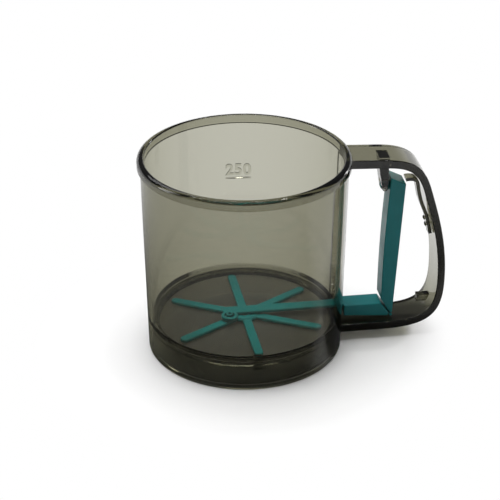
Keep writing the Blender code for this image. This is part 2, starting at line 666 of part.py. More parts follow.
def build_mesh():
    """A disc with square gaps; the gaps stop short of the clamped border and of the washers."""
    edge = ring_radius - KEY_DEPTH - 2 * GAP
    hole = STUD_RADIUS + PIN_CLEARANCE
    profile = [(edge, mesh_top), (edge, MESH_HEIGHT), (hole, MESH_HEIGHT), (hole, mesh_top)]
    net = turned("sieve_mesh", profile)
    half = (MESH_PITCH - MESH_WIRE) / 2
    reach = ring_radius - CLAMP_RING_WIDTH + MESH_WIRE
    count = int(reach / MESH_PITCH)
    gaps = bmesh.new()
    for row in range(-count, count + 1):
        for column in range(-count, count + 1):
            centre = Vector((column * MESH_PITCH, row * MESH_PITCH, MESH_HEIGHT + MESH_THICKNESS / 2))
            corner = math.hypot(abs(centre.x) + half, abs(centre.y) + half)
            nearest = math.hypot(max(abs(centre.x) - half, 0), max(abs(centre.y) - half, 0))
            if corner < reach and nearest > WASHER_RADIUS:
                size = Matrix.Diagonal((2 * half, 2 * half, 4 * MESH_THICKNESS, 1))
                bmesh.ops.create_cube(gaps, size=1, matrix=Matrix.Translation(centre) @ size)
    cutter = bpy.data.meshes.new("mesh_gaps")
    gaps.to_mesh(cutter)
    gaps.free()
    return place(boolean(net, new_piece("mesh_gaps", cutter, cutters)), cup_axis, mesh_steel)


def leaf_line():
    """Middle line of the leaf from the end of its foot up and over to the tip of its hook."""
    foot_low = pivot.z - LEAF_START
    foot_high = foot_low + LEAF_FOOT
    head = pivot.z + LEAF_HEAD
    line = []
    steps = 9
    for i in range(steps + 1):
        height = foot_low + (head - foot_low) * i / steps
        face, along = grip_inside(height)
        free = max(0.0, (height - foot_high) / (head - foot_high))
        away = GAP + LEAF_THICKNESS / 2 + LEAF_BOW * math.sin(math.pi * free)
        line.append((face.x + along.z * away, height - along.x * away))
    last, before = Vector(line[-1]), Vector(line[-2])
    upward = (last - before).normalized()
    _, corner = trigger_corners()
    tip = Vector(corner) + Vector((0.4, 0.9)).normalized() * (GAP + LEAF_THICKNESS / 2)
    hook = bezier(last, last + upward * HOOK_PULL, tip + Vector((1, 0.2)) * HOOK_PULL, tip, 6)
    return line[:-1] + hook + [tuple(tip)]


def build_spring():
    """The bowed leaf: foot on the grip, free length and a hooked end over the trigger's shoulder."""
    leaf = plate("return_spring", ribbon(leaf_line(), LEAF_THICKNESS), LEAF_WIDTH / 2)
    for number, (point, outward) in enumerate(peg_places()):
        hole = cylinder(f"leaf_hole_{number}", point - outward * LEAF_WIDTH, point + outward * GAP / 2,
                        PEG_RADIUS + PIN_CLEARANCE)
        boolean(leaf, hole)
    return place(leaf, cup_axis, smoky)


def ribbon(line, thickness):
    """Closed outline of a strip that runs along a line of points."""
    points = [Vector(point) for point in line]
    sides = ([], [])
    for i, point in enumerate(points):
        along = (points[min(i + 1, len(points) - 1)] - points[max(i - 1, 0)]).normalized()
        left = Vector((-along.y, along.x)) * thickness / 2
        sides[0].append(tuple(point + left))
        sides[1].append(tuple(point - left))
    return sides[0] + sides[1][::-1]


def peg_places():
    """Where the two pegs meet the inner face of the grip, and the way out through it."""
    places = []
    for share in (0.45, 0.8):
        face, along = grip_inside(pivot.z - LEAF_START + LEAF_FOOT * share)
        outward = Vector((-along.z, 0, along.x))
        places.append((face, outward))
    return places


def build_pegs():
    """Two headed stakes that hold the leaf's foot on the grip."""
    for name, (point, outward) in zip(("spring_peg_lower", "spring_peg_upper"), peg_places()):
        head = point - outward * (2 * GAP + LEAF_THICKNESS)
        crown = head - outward * PEG_HEAD_HEIGHT
        peg = cylinder(name, (head + crown) / 2, point + outward * PEG_DEPTH, PEG_RADIUS, parts)
        boolean(peg, cylinder(name + "_head", crown, head, PEG_HEAD_RADIUS, parts), "UNION")
        place(peg, cup_axis, smoky)


build_cup()
build_handle()
build_bracket()
build_pivot_pin()
build_trigger()
build_hinge_strip()
build_rod()
build_stirrer()
build_stud()
build_washer("mesh_washer_upper", washer_low)
build_washer("mesh_washer_lower", MESH_HEIGHT - GAP - WASHER_THICKNESS)
build_base_ring()
build_mesh()
build_clamp_ring()
build_spring()
build_pegs()
bpy.context.view_layer.update()
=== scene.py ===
# %% [markdown]
# # Dressing a smoky flour sifter
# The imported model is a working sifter: squeeze the trigger and a star sweeps the sieve. It is drawn
# with few facets, and light that passes through clear plastic shows every one of them. So this lesson
# keeps the model as a fixed frame, and moulds each visible piece again with fine curves, rounded edges
# and a finish of its own.

# %% Load the working frame
import json
import math

import bmesh
import bpy
from mathutils import Matrix, Vector


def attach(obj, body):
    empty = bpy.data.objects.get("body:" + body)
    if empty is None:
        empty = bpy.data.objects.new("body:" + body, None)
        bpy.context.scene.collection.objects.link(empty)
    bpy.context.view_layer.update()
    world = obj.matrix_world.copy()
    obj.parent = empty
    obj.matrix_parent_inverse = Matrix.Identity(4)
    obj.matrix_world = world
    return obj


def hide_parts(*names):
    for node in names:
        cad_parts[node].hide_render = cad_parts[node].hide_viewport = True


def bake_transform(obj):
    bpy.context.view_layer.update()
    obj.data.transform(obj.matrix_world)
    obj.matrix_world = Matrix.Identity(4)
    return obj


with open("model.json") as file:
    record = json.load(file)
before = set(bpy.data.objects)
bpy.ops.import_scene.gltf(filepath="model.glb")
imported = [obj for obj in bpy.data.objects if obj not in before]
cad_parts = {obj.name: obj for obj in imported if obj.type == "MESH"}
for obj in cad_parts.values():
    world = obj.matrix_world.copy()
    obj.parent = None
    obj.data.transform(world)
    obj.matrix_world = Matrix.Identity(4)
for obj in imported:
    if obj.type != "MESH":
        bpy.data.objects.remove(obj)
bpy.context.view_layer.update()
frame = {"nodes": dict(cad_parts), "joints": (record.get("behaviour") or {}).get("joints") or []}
MM = 0.001


# %% [markdown]
# ## One zero for every drawing
# Cup, sieve and stirrer are all round the same axis, so every piece is drawn in millimetres from the
# point where that axis meets the table. The joints already know where the axis, the trigger's pivot and
# the hinge are. Reading them from the frame is safer than typing them again.

# %% Axis, pivot and hinge
joints = {joint["name"]: joint for joint in frame["joints"]}
cup_axis = Vector((joints["stirrer_turn"]["pos_m"][0], 0, 0))


def from_axis(joint):
    return (Vector(joints[joint]["pos_m"]) - cup_axis) / MM


pivot = from_axis("trigger_squeeze")
hinge = from_axis("rod_fold")
print("pivot", [round(x, 2) for x in pivot], "hinge", [round(x, 2) for x in hinge])

# %% [markdown]
# ## Smoky plastic
# The cup is clear plastic with a little dye all through it. Paint would give it one grey everywhere,
# but the real one is pale where the wall is thin and nearly black along its edges. That comes from
# distance: a volume that absorbs light per millimetre gives it for nothing, and takes a little more
# blue than red, which makes the grey turn olive. The skin copies a polished mould: smooth, with a faint
# slow wave and a few dull patches. The dye comes in three strengths: the cup's, a weaker one for the
# broad band of the handle, and a strong one for the sieve rings and the small pieces, which look nearly
# black.

# %% Helpers for node materials
NOISE_LOW, NOISE_HIGH = 0.3, 0.7


def new_finish(name):
    finish = bpy.data.materials.new(name)
    finish.use_nodes = True
    nodes = finish.node_tree.nodes
    return finish, nodes, finish.node_tree.links, nodes["Principled BSDF"]


def noise(nodes, links, size, detail=2.0, stretch=(1, 1, 1)):
    """Noise whose grains are about this many millimetres across, fixed to the piece itself."""
    place = nodes.new("ShaderNodeTexCoord")
    scale = nodes.new("ShaderNodeMapping")
    scale.inputs["Scale"].default_value = [1 / (size * MM * s) for s in stretch]
    grain = nodes.new("ShaderNodeTexNoise")
    grain.inputs["Scale"].default_value = 1.0
    grain.inputs["Detail"].default_value = detail
    links.new(place.outputs["Object"], scale.inputs["Vector"])
    links.new(scale.outputs["Vector"], grain.inputs["Vector"])
    return grain.outputs["Fac"]


def spread(nodes, links, source, low, high, first, last, course="LINEAR"):
    """Go from a first value to a last one while the source goes from low to high."""
    node = nodes.new("ShaderNodeMapRange")
    node.interpolation_type = course
    for socket, value in (("From Min", low), ("From Max", high), ("To Min", first), ("To Max", last)):
        node.inputs[socket].default_value = value
    links.new(source, node.inputs["Value"])
    return node.outputs["Result"]


def between(nodes, links, source, low, high):
    """Spread the middle of a noise over a range."""
    return spread(nodes, links, source, NOISE_LOW, NOISE_HIGH, low, high)


def relief(nodes, links, source, shader, depth, strength):
    """Turn a noise into small ups and downs of the surface."""
    bump = nodes.new("ShaderNodeBump")
    bump.inputs["Distance"].default_value = depth * MM
    bump.inputs["Strength"].default_value = strength
    links.new(source, bump.inputs["Height"])
    links.new(bump.outputs["Normal"], shader.inputs["Normal"])


# %% The dyed clear plastic
PLASTIC_IOR, DYE_COLOUR = 1.5, (0.38, 0.37, 0.22, 1)
PATCH_SIZE, PATCH_ROUGHNESS = 14, (0.01, 0.05)
WAVE_SIZE, WAVE_DEPTH, WAVE_STRENGTH = 22, 0.05, 0.12


def smoky_plastic(name, density):
    finish, nodes, links, shader = new_finish(name)
    shader.inputs["Base Color"].default_value = (1, 1, 1, 1)
    shader.inputs["Transmission Weight"].default_value = 1.0
    shader.inputs["IOR"].default_value = PLASTIC_IOR
    patches = between(nodes, links, noise(nodes, links, PATCH_SIZE), *PATCH_ROUGHNESS)
    links.new(patches, shader.inputs["Roughness"])
    relief(nodes, links, noise(nodes, links, WAVE_SIZE, 1.0), shader, WAVE_DEPTH, WAVE_STRENGTH)
    dye = nodes.new("ShaderNodeVolumeAbsorption")
    dye.inputs["Color"].default_value = DYE_COLOUR
    dye.inputs["Density"].default_value = density
    links.new(dye.outputs["Volume"], nodes["Material Output"].inputs["Volume"])
    print(name, "absorbs", [round(density * MM * (1 - c), 2) for c in DYE_COLOUR[:3]], "per mm")
    return finish


smoky = smoky_plastic("smoky_clear_plastic", 500.0)
handle_smoky = smoky_plastic("smoky_handle_plastic", 430.0)
deep_smoky = smoky_plastic("deep_smoky_plastic", 1100.0)

# %% [markdown]
# ## Teal plastic and steel
# The moving pieces are moulded in solid teal with a satin skin. Two close teals are mixed by noise, as
# pigment never spreads quite evenly, and a very fine grain breaks up the shine. The sieve is woven wire
# and the small fasteners are plain steel with a brushed grain, which is noise stretched along one
# direction.

# %% The solid finishes


def two_tone(nodes, links, shader, source, first, second):
    mix = nodes.new("ShaderNodeMix")
    mix.data_type = "RGBA"
    mix.inputs["A"].default_value = (*first, 1)
    mix.inputs["B"].default_value = (*second, 1)
    links.new(source, mix.inputs["Factor"])
    links.new(mix.outputs["Result"], shader.inputs["Base Color"])


def new_steel(name):
    finish, nodes, links, shader = new_finish(name)
    shader.inputs["Metallic"].default_value = 1.0
    return finish, nodes, links, shader


teal, nodes, links, shader = new_finish("teal_satin_plastic")
shader.inputs["IOR"].default_value = PLASTIC_IOR
shader.inputs["Specular IOR Level"].default_value = 0.32
two_tone(nodes, links, shader, noise(nodes, links, 6), (0.010, 0.182, 0.192), (0.013, 0.212, 0.221))
links.new(between(nodes, links, noise(nodes, links, 9), 0.30, 0.42), shader.inputs["Roughness"])
relief(nodes, links, noise(nodes, links, 0.35, 1.0), shader, 0.02, 0.15)

wire_steel, nodes, links, shader = new_steel("woven_wire_steel")
two_tone(nodes, links, shader, noise(nodes, links, 2.5), (0.55, 0.54, 0.52), (0.70, 0.69, 0.66))
links.new(between(nodes, links, noise(nodes, links, 5), 0.28, 0.42), shader.inputs["Roughness"])

brushed_steel, nodes, links, shader = new_steel("brushed_steel")
grain = noise(nodes, links, 0.3, 3.0, (1, 1, 12))
two_tone(nodes, links, shader, grain, (0.52, 0.52, 0.50), (0.66, 0.66, 0.64))
links.new(between(nodes, links, grain, 0.22, 0.38), shader.inputs["Roughness"])
relief(nodes, links, grain, shader, 0.01, 0.2)

dark_steel, nodes, links, shader = new_steel("dark_steel")
grain = noise(nodes, links, 0.4, 3.0, (1, 8, 1))
two_tone(nodes, links, shader, grain, (0.06, 0.06, 0.06), (0.10, 0.10, 0.09))
links.new(between(nodes, links, grain, 0.35, 0.5), shader.inputs["Roughness"])
print("solid finishes:", ", ".join(finish.name for finish in (teal, wire_steel, brushed_steel, dark_steel)))

# %% [markdown]
# ## A small workshop
# Three ways of shaping cover nearly the whole sifter: turning a profile on a lathe, cutting a plate
# from a flat outline and rounding its rim, and adding one solid to another or taking it away. Each
# result is frozen to a plain mesh at once, so that no hidden tool is left in the scene. Smooth shading
# would bend the light on flat faces, so the weighted normals let the large faces lead and keep the bend
# inside the rounded rim.

# %% From drawing to mesh
WELD, LATHE_WELD = 0.002, 0.001


def new_piece(name, mesh):
    piece = bpy.data.objects.new(name, mesh)
    bpy.context.scene.collection.objects.link(piece)
    return piece


def frozen_mesh(thing):
    bpy.context.view_layer.update()
    return bpy.data.meshes.new_from_object(thing.evaluated_get(bpy.context.evaluated_depsgraph_get()))


def freeze(piece):
    mesh = frozen_mesh(piece)
    piece.modifiers.clear()
    piece.data = mesh
    return piece


def tidy(mesh):
    """Weld doubled points and turn every face outwards."""
    bm = bmesh.new()
    bm.from_mesh(mesh)
    bmesh.ops.remove_doubles(bm, verts=bm.verts, dist=WELD)
    bmesh.ops.recalc_face_normals(bm, faces=bm.faces)
    bm.to_mesh(mesh)
    bm.free()
    return mesh


# %% The lathe and the plate cutter


def turned(name, profile, steps=192, closed=True):
    """Turn (radius, height) points about the cup's axis, which is a lathe in one modifier."""
    count = len(profile)
    lines = [(i, (i + 1) % count) for i in range(count if closed else count - 1)]
    mesh = bpy.data.meshes.new(name)
    mesh.from_pydata([(radius, 0, height) for radius, height in profile], lines, [])
    piece = new_piece(name, mesh)
    lathe = piece.modifiers.new("lathe", "SCREW")
    lathe.steps = lathe.render_steps = steps
    lathe.use_merge_vertices = True
    lathe.merge_threshold = LATHE_WELD
    freeze(piece)
    tidy(piece.data)
    return piece


def plate(name, outline, half, rim=0.0, upright=True, rounding=3):
    """Thicken a flat outline both ways and round its rim; upright plates are drawn in X and Z."""
    curve = bpy.data.curves.new(name, "CURVE")
    curve.dimensions = "2D"
    curve.fill_mode = "BOTH"
    curve.extrude = half - rim
    curve.bevel_depth = rim
    curve.bevel_resolution = rounding
    curve.offset = -rim
    line = curve.splines.new("POLY")
    line.points.add(len(outline) - 1)
    for point, (across, up) in zip(line.points, outline):
        point.co = (across, up, 0, 1)
    line.use_cyclic_u = True
    drawing = new_piece(name, curve)
    mesh = frozen_mesh(drawing)
    bpy.data.objects.remove(drawing)
    if upright:
        mesh.transform(Matrix.Rotation(math.pi / 2, 4, "X"))
    return new_piece(name, tidy(mesh))


def lying(name, outline, half, rim, middle, rounding=3):
    """A plate that lies flat, with its middle at a point."""
    piece = plate(name, outline, half, rim, upright=False, rounding=rounding)
    piece.data.transform(Matrix.Translation(middle))
    return piece


# %% Plain blocks and bars


def built(name, bm):
    mesh = bpy.data.meshes.new(name)
    bm.to_mesh(mesh)
    bm.free()
    return new_piece(name, mesh)


def box(name, low, high):
    low, high = Vector(low), Vector(high)
    bm = bmesh.new()
    bmesh.ops.create_cube(bm, size=1, matrix=Matrix.Translation((low + high) / 2)
                          @ Matrix.Diagonal((*(high - low), 1)))
    return built(name, bm)


def rod_between(name, start, end, radius, steps=40):
    """A plain round bar from one point to another."""
    start, end = Vector(start), Vector(end)
    turn = (end - start).to_track_quat("Z", "Y").to_matrix().to_4x4()
    bm = bmesh.new()
    bmesh.ops.create_cone(bm, cap_ends=True, segments=steps, radius1=radius, radius2=radius,
                          depth=(end - start).length, matrix=Matrix.Translation((start + end) / 2) @ turn)
    return built(name, bm)


# %% Cut, polish and settle


def combine(piece, tool, operation="DIFFERENCE"):
    """Cut with a tool, or join it on, and put the tool away."""
    change = piece.modifiers.new(tool.name, "BOOLEAN")
    change.operation = operation
    change.object = tool
    freeze(piece)
    bpy.data.objects.remove(tool)
    return piece


def polish(piece, sharp=38):
    piece.data.shade_smooth()
    piece.data.set_sharp_from_angle(angle=math.radians(sharp))
    lead = piece.modifiers.new("large faces lead", "WEIGHTED_NORMAL")
    lead.keep_sharp = True
    return freeze(piece)


def settle(piece, finish, slot, *stands_for):
    """Scale to metres, move to the cup's place and give it its finish."""
    piece.data.transform(Matrix.Translation(cup_axis) @ Matrix.Scale(MM, 4))
    piece.data.materials.clear()
    piece.data.materials.append(finish)
    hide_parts(*stands_for)
    print(f"{piece.name}: {len(piece.data.polygons)} faces in {finish.name}")


# %% Lines to draw with


def arc(centre, radius, start, end, steps):
    angles = [math.radians(start + (end - start) * i / steps) for i in range(steps + 1)]
    return [(centre[0] + radius * math.cos(a), centre[1] + radius * math.sin(a)) for a in angles]


def circle(radius, steps=60):
    return arc((0, 0), radius, 0, 360 - 360 / steps, steps - 1)


def stepped(points, longest=6.0):
    """Split long straight runs, so that a later cut only disturbs the faces next to it."""
    result = []
    for (x0, y0), (x1, y1) in zip(points, points[1:] + points[:1]):
        count = max(1, round(math.hypot(x1 - x0, y1 - y0) / longest))
        result += [(x0 + (x1 - x0) * i / count, y0 + (y1 - y0) * i / count) for i in range(count)]
    return result


# %% [markdown]
# ## The cup
# The tub tapers a little so that it leaves its mould, and ends in a rolled lip. Inside, near the foot,
# a ledge holds the sieve from above, a snap bead holds it from below, and one small rib at the front
# keeps it from turning. All of that except the rib is one profile on the lathe. The handle's seat and
# the rod's window are cut afterwards.

# %% Cup sizes and profile
GAP = 0.3
CUP_HEIGHT, TOP_RADIUS, FOOT_RADIUS, WALL = 103.5, 50.9, 49.1, 2.1
LIP_RADIUS, LIP_HEIGHT, LIP_ROUND, LIP_CROWN, LIP_INNER = 52.5, 5.1, 1.1, 2.3, 0.9
LIP_LOW = CUP_HEIGHT - LIP_HEIGHT
NECK_SLANT, FOOT_ROUND = 0.3, 0.5
RING_RADIUS = 46.82
BEAD_LEAD, BEAD_PROUD, BEAD_LEVEL, BEAD_TOP = 0.25, 0.7, 1.1, 1.9
MESH_LEVEL, LEDGE_LOW, LEDGE_TOP = 12.8, 16.1, 18.7
LEDGE_DEPTH, LEDGE_EDGE, LEDGE_ROUND = 1.4, 0.9, 0.3
KEY_WIDTH, KEY_DEPTH, KEY_DROP, KEY_RISE = 4.0, 1.3, 5.5, 2.2


def outside(height):
    return FOOT_RADIUS + (TOP_RADIUS - FOOT_RADIUS) * height / LIP_LOW


def cup_profile():
    skirt = RING_RADIUS + GAP
    inside_top = outside(CUP_HEIGHT) - WALL
    points = arc((LIP_RADIUS - LIP_CROWN, CUP_HEIGHT - LIP_CROWN), LIP_CROWN, 90, 0, 12)
    points += arc((LIP_RADIUS - LIP_ROUND, LIP_LOW + LIP_ROUND), LIP_ROUND, 0, -90, 8)
    points += [(TOP_RADIUS + NECK_SLANT, LIP_LOW), (TOP_RADIUS, LIP_LOW - NECK_SLANT)]
    points += arc((FOOT_RADIUS - FOOT_ROUND, FOOT_ROUND), FOOT_ROUND, 0, -90, 4)
    points += [(skirt + BEAD_LEAD, 0), (skirt - BEAD_PROUD, BEAD_LEVEL), (skirt, BEAD_TOP)]
    points += [(skirt, LEDGE_LOW), (skirt - LEDGE_DEPTH, LEDGE_LOW)]
    points += arc((skirt - LEDGE_DEPTH + LEDGE_ROUND, LEDGE_LOW + LEDGE_EDGE), LEDGE_ROUND, 180, 150, 3)
    points += [(outside(LEDGE_TOP) - WALL, LEDGE_TOP)]
    points += arc((inside_top + LIP_INNER, CUP_HEIGHT - LIP_INNER), LIP_INNER, 180, 90, 8)
    return stepped(points)


cup = turned("cup_clear", cup_profile())
rib = box("key_rib", (-KEY_WIDTH / 2, -RING_RADIUS - GAP - WALL / 2, LEDGE_LOW - KEY_DROP),
          (KEY_WIDTH / 2, KEY_DEPTH - RING_RADIUS - GAP, LEDGE_LOW + KEY_RISE))
combine(cup, rib, "UNION")
print("cup profile:", len(cup_profile()), "points")

# %% [markdown]
# ## The seat for the handle and the window for the rod
# A strip as wide as the handle is let into the wall, and the handle's saddle lies in it. A strip of
# tube is the exact tool for that cut: turn a thin ring, keep the part inside a box. The window below is
# a plain slot.

# %% Cut the seat and the window
HANDLE_WIDTH, FOOT_HEIGHT = 19.6, 5.0
SEAT_DEPTH, SEAT_ROWS, OVERCUT = 1.0, 12, 5
ROD_LOW, ROD_TOP, BAR_START = 16.25, 17.85, 50.73
CLAMP_WIDTH, WINDOW_HALF, WINDOW_DROP, WINDOW_RISE = 3.4, 5.95, 0.35, 1.5


def saddle_strip(name, inner, outer, margin):
    low, high = FOOT_HEIGHT - margin, LIP_LOW - 2 * GAP + margin
    heights = [high + (low - high) * i / SEAT_ROWS for i in range(SEAT_ROWS + 1)]
    profile = [(outside(h) + outer, h) for h in heights] + [(outside(h) + inner, h) for h in heights[::-1]]
    half = HANDLE_WIDTH / 2 + margin
    keep = box("strip_width", (0, -half, low - OVERCUT), (2 * LIP_RADIUS, half, CUP_HEIGHT))
    return combine(turned(name, profile), keep, "INTERSECT")


def rod_window():
    return box("rod_window", (RING_RADIUS - CLAMP_WIDTH, -WINDOW_HALF, ROD_LOW - WINDOW_DROP),
               (BAR_START, WINDOW_HALF, ROD_TOP + WINDOW_RISE))


combine(cup, saddle_strip("saddle_seat", -SEAT_DEPTH, WALL, GAP))
combine(cup, rod_window())
print("cup after cutting:", len(cup.data.polygons), "faces")

# %% [markdown]
# ## A plain capacity number
# High on the inside of the back wall stands a raised number with a line under it. Blender's own font
# gives the outlines. The letters are drawn flat, bent round the wall point by point, and joined on, so
# that light bends in them as it does in the real moulding. A painted number would look the same from
# every side, and this one doesn't.

# %% Raise the number on the wall
NUMBER_HEIGHT, NUMBER_WIDTH, NUMBER_LEVEL, NUMBER_ANGLE = 6.6, 13.4, 69.9, 86.0
NUMBER_PROUD, LINE_PROUD, NUMBER_ROOT = 0.6, 0.3, 0.6
LETTER_BODY, LETTER_EDGE, LETTER_SPACING = 0.01, 0.035, 1.08
LINE_TOP, LINE_LOW, LINE_STEPS = -1.1, -1.7, 24


def wrapped(mesh, proud):
    """Bend flat lettering onto the inside of the wall, readable from the axis."""
    top = max(vertex.co.z for vertex in mesh.vertices)
    for vertex in mesh.vertices:
        across, up, out = vertex.co
        height = NUMBER_LEVEL + up
        radius = outside(height) - WALL
        angle = math.radians(NUMBER_ANGLE) - across / radius
        reach = radius - proud * out / top if out > 0 else radius + NUMBER_ROOT
        vertex.co = (reach * math.cos(angle), reach * math.sin(angle), height)
    return tidy(mesh)


letters = bpy.data.curves.new("capacity_number", "FONT")
letters.body = "250"
letters.extrude = LETTER_BODY
letters.bevel_depth, letters.bevel_resolution = LETTER_EDGE, 1
letters.resolution_u = 4
letters.space_character = LETTER_SPACING
drawing = new_piece("number_drawing", letters)
mesh = frozen_mesh(drawing)
bpy.data.objects.remove(drawing)
low = [min(v.co[i] for v in mesh.vertices) for i in range(2)]
high = [max(v.co[i] for v in mesh.vertices) for i in range(2)]
wide, tall = high[0] - low[0], high[1] - low[1]
mesh.transform(Matrix.Diagonal((NUMBER_WIDTH / wide, NUMBER_HEIGHT / tall, 1, 1))
               @ Matrix.Translation((-(low[0] + high[0]) / 2, -low[1], 0)))
combine(cup, new_piece("number", wrapped(mesh, NUMBER_PROUD)), "UNION")

spots = [NUMBER_WIDTH * (i / LINE_STEPS - 0.5) for i in range(LINE_STEPS + 1)]
outline = [(x, LINE_TOP) for x in spots] + [(x, LINE_LOW) for x in spots[::-1]]
line = plate("number_line", outline, LETTER_BODY, upright=False)
wrapped(line.data, LINE_PROUD)
combine(cup, line, "UNION")
settle(polish(cup), smoky, "smoky_plastic", "cup_body")
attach(cup, "cup")

# %% [markdown]
# ## The sieve rings
# Two rings squeeze the mesh between them: a tall one below, which fills the dark skirt of the cup, and
# a low one above with a sloping inner edge. Both have a notch for the cup's rib. They take the strong
# dye, and the thin air gaps round them darken the skirt a little more.

# %% Turn both rings
MESH_THICKNESS, RING_EDGE, RING_STEP = 0.4, 0.2, 3.0
BASE_LOW, BASE_WIDTH = 2.2, 2.1
CLAMP_LOW, CLAMP_HEIGHT = MESH_LEVEL + MESH_THICKNESS + GAP, 2.3
CLAMP_TOP = CLAMP_LOW + CLAMP_HEIGHT
CLAMP_SLOPE = [(0, 0), (0, 0.6), (0.15, 0.85), (0.75, CLAMP_HEIGHT)]


def key_notch():
    half = KEY_WIDTH / 2 + GAP
    return box("key_notch", (-half, -RING_RADIUS - WALL, LEDGE_LOW - KEY_DROP - GAP),
               (half, KEY_DEPTH - RING_RADIUS, LEDGE_LOW + KEY_RISE))


def sieve_ring(name, profile, node):
    ring = combine(turned(name, stepped(profile, RING_STEP)), key_notch())
    settle(polish(ring), deep_smoky, "smoky_plastic", node)
    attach(ring, "cup")


inner = RING_RADIUS - BASE_WIDTH
base_line = [(RING_RADIUS, MESH_LEVEL - GAP), (RING_RADIUS, BASE_LOW + RING_EDGE)]
base_line += [(RING_RADIUS - RING_EDGE, BASE_LOW), (inner + RING_EDGE, BASE_LOW)]
base_line += [(inner, BASE_LOW + RING_EDGE), (inner, MESH_LEVEL - GAP)]
sieve_ring("base_ring_clear", base_line, "sieve_base_ring")
inner = RING_RADIUS - CLAMP_WIDTH
clamp_line = [(RING_RADIUS - RING_EDGE, CLAMP_TOP), (RING_RADIUS, CLAMP_TOP - RING_EDGE)]
clamp_line += [(RING_RADIUS, CLAMP_LOW)] + [(inner + across, CLAMP_LOW + up) for across, up in CLAMP_SLOPE]
sieve_ring("clamp_ring_clear", clamp_line, "sieve_clamp_ring")

# %% [markdown]
# ## The woven mesh
# The frame's sieve is a plate with large square holes, which is light to compute with but looks like a
# grating. Real sieve cloth is plain weave: every wire goes over one crossing wire and under the next.
# Each wire here is a thin four-sided tube whose centre rises and falls by nearly a wire's thickness
# between crossings. A printed pattern would be quicker, but it would have no shine on the humps and
# nothing to see from the side.

# %% Weave the wires
WIRE_PITCH, WIRE_RADIUS, WIRE_SWING = 0.75, 0.13, 0.9
WEAVE_EDGE, WEAVE_HOLE = 44.6, 2.4


def wire_runs(offset):
    """Crossing numbers along one wire that lie on the sieve, in unbroken runs."""
    reach = int(WEAVE_EDGE / WIRE_PITCH) + 1
    run = []
    for crossing in range(-reach, reach + 1):
        distance = math.hypot(crossing * WIRE_PITCH, offset * WIRE_PITCH)
        if WEAVE_HOLE < distance < WEAVE_EDGE:
            run.append(crossing)
        elif run:
            yield run
            run = []


def weave():
    points, faces = [], []
    quarters = (0, math.pi / 2, math.pi, -math.pi / 2)
    sides = [(WIRE_RADIUS * math.cos(a), WIRE_RADIUS * math.sin(a)) for a in quarters]
    reach = int(WEAVE_EDGE / WIRE_PITCH)
    level = MESH_LEVEL + MESH_THICKNESS / 2
    for warp in (True, False):
        for offset in range(-reach, reach + 1):
            for run in wire_runs(offset):
                first = len(points)
                for crossing in run:
                    over = 1 if (crossing + offset + warp) % 2 else -1
                    height = level + over * WIRE_RADIUS * WIRE_SWING
                    for side, up in sides:
                        spot = (crossing * WIRE_PITCH, offset * WIRE_PITCH + side)
                        points.append((*(spot if warp else spot[::-1]), height + up))
                for ring in range(len(run) - 1):
                    for side in range(4):
                        a, b = first + 4 * ring + side, first + 4 * ring + (side + 1) % 4
                        faces.append((a, b, b + 4, a + 4) if warp else (a, a + 4, b + 4, b))
                last = first + 4 * (len(run) - 1)
                caps = [(first + 3, first + 2, first + 1, first), (last, last + 1, last + 2, last + 3)]
                faces += caps if warp else [cap[::-1] for cap in caps]
    mesh = bpy.data.meshes.new("sieve_weave")
    mesh.from_pydata(points, [], faces)
    mesh.shade_smooth()
    return mesh


cloth = new_piece("sieve_weave", weave())
settle(cloth, wire_steel, "woven_steel", "sieve_mesh")
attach(cloth, "cup")

# %% [markdown]
# ## The stirrer
# Six arms sweep over the mesh. One of them carries a hollow post, which the push rod's eye turns. The
# star is one flat outline, half circles for the tips and short arcs for the hub, thickened and rounded
# like a moulding. The hub sinks round the head of the stud that it turns on.

# %% Mould the star
STAR_PLAY = 2.8
ARM_COUNT, ARM_REACH, ARM_WIDTH = 6, RING_RADIUS - CLAMP_WIDTH - STAR_PLAY, 4.5
STAR_LOW, STAR_TOP, STAR_EDGE = 13.6, 15.6, 0.65
HUB_RADIUS, HUB_TOP, HUB_STEP, HUB_HALF, HUB_EDGE = 7.4, 15.9, 0.5, 0.6, 0.2
POST_TOP, POST_RADIUS, POST_HALF, POST_EDGE = 18.85, 1.75, 2.0, 0.3
BORE_DEPTH, BORE_RADIUS = 2.2, 0.9
STUD_HOLES = {"washer_relief": (11.6, 14.3, 5.3), "stud_hole": (13, 16.5, 2.05),
              "head_relief": (15.0, 16.5, 3.5)}
CRANK_REACH, CRANK_ANGLE = 10.0, 212.4
crank_turn = math.radians(CRANK_ANGLE)
crank = Vector((CRANK_REACH * math.cos(crank_turn), CRANK_REACH * math.sin(crank_turn), 0))


def star_outline():
    half, pitch = ARM_WIDTH / 2, 360 / ARM_COUNT
    root = math.degrees(math.asin(half / HUB_RADIUS))
    points = []
    for number in range(ARM_COUNT):
        angle = CRANK_ANGLE + number * pitch
        turn = math.radians(angle)
        tip = ((ARM_REACH - half) * math.cos(turn), (ARM_REACH - half) * math.sin(turn))
        points += arc(tip, half, angle - 90, angle + 90, 12)
        points += arc((0, 0), HUB_RADIUS, angle + root, angle + pitch - root, 6)
    return points


def raised(point, height):
    return Vector((point[0], point[1], height))


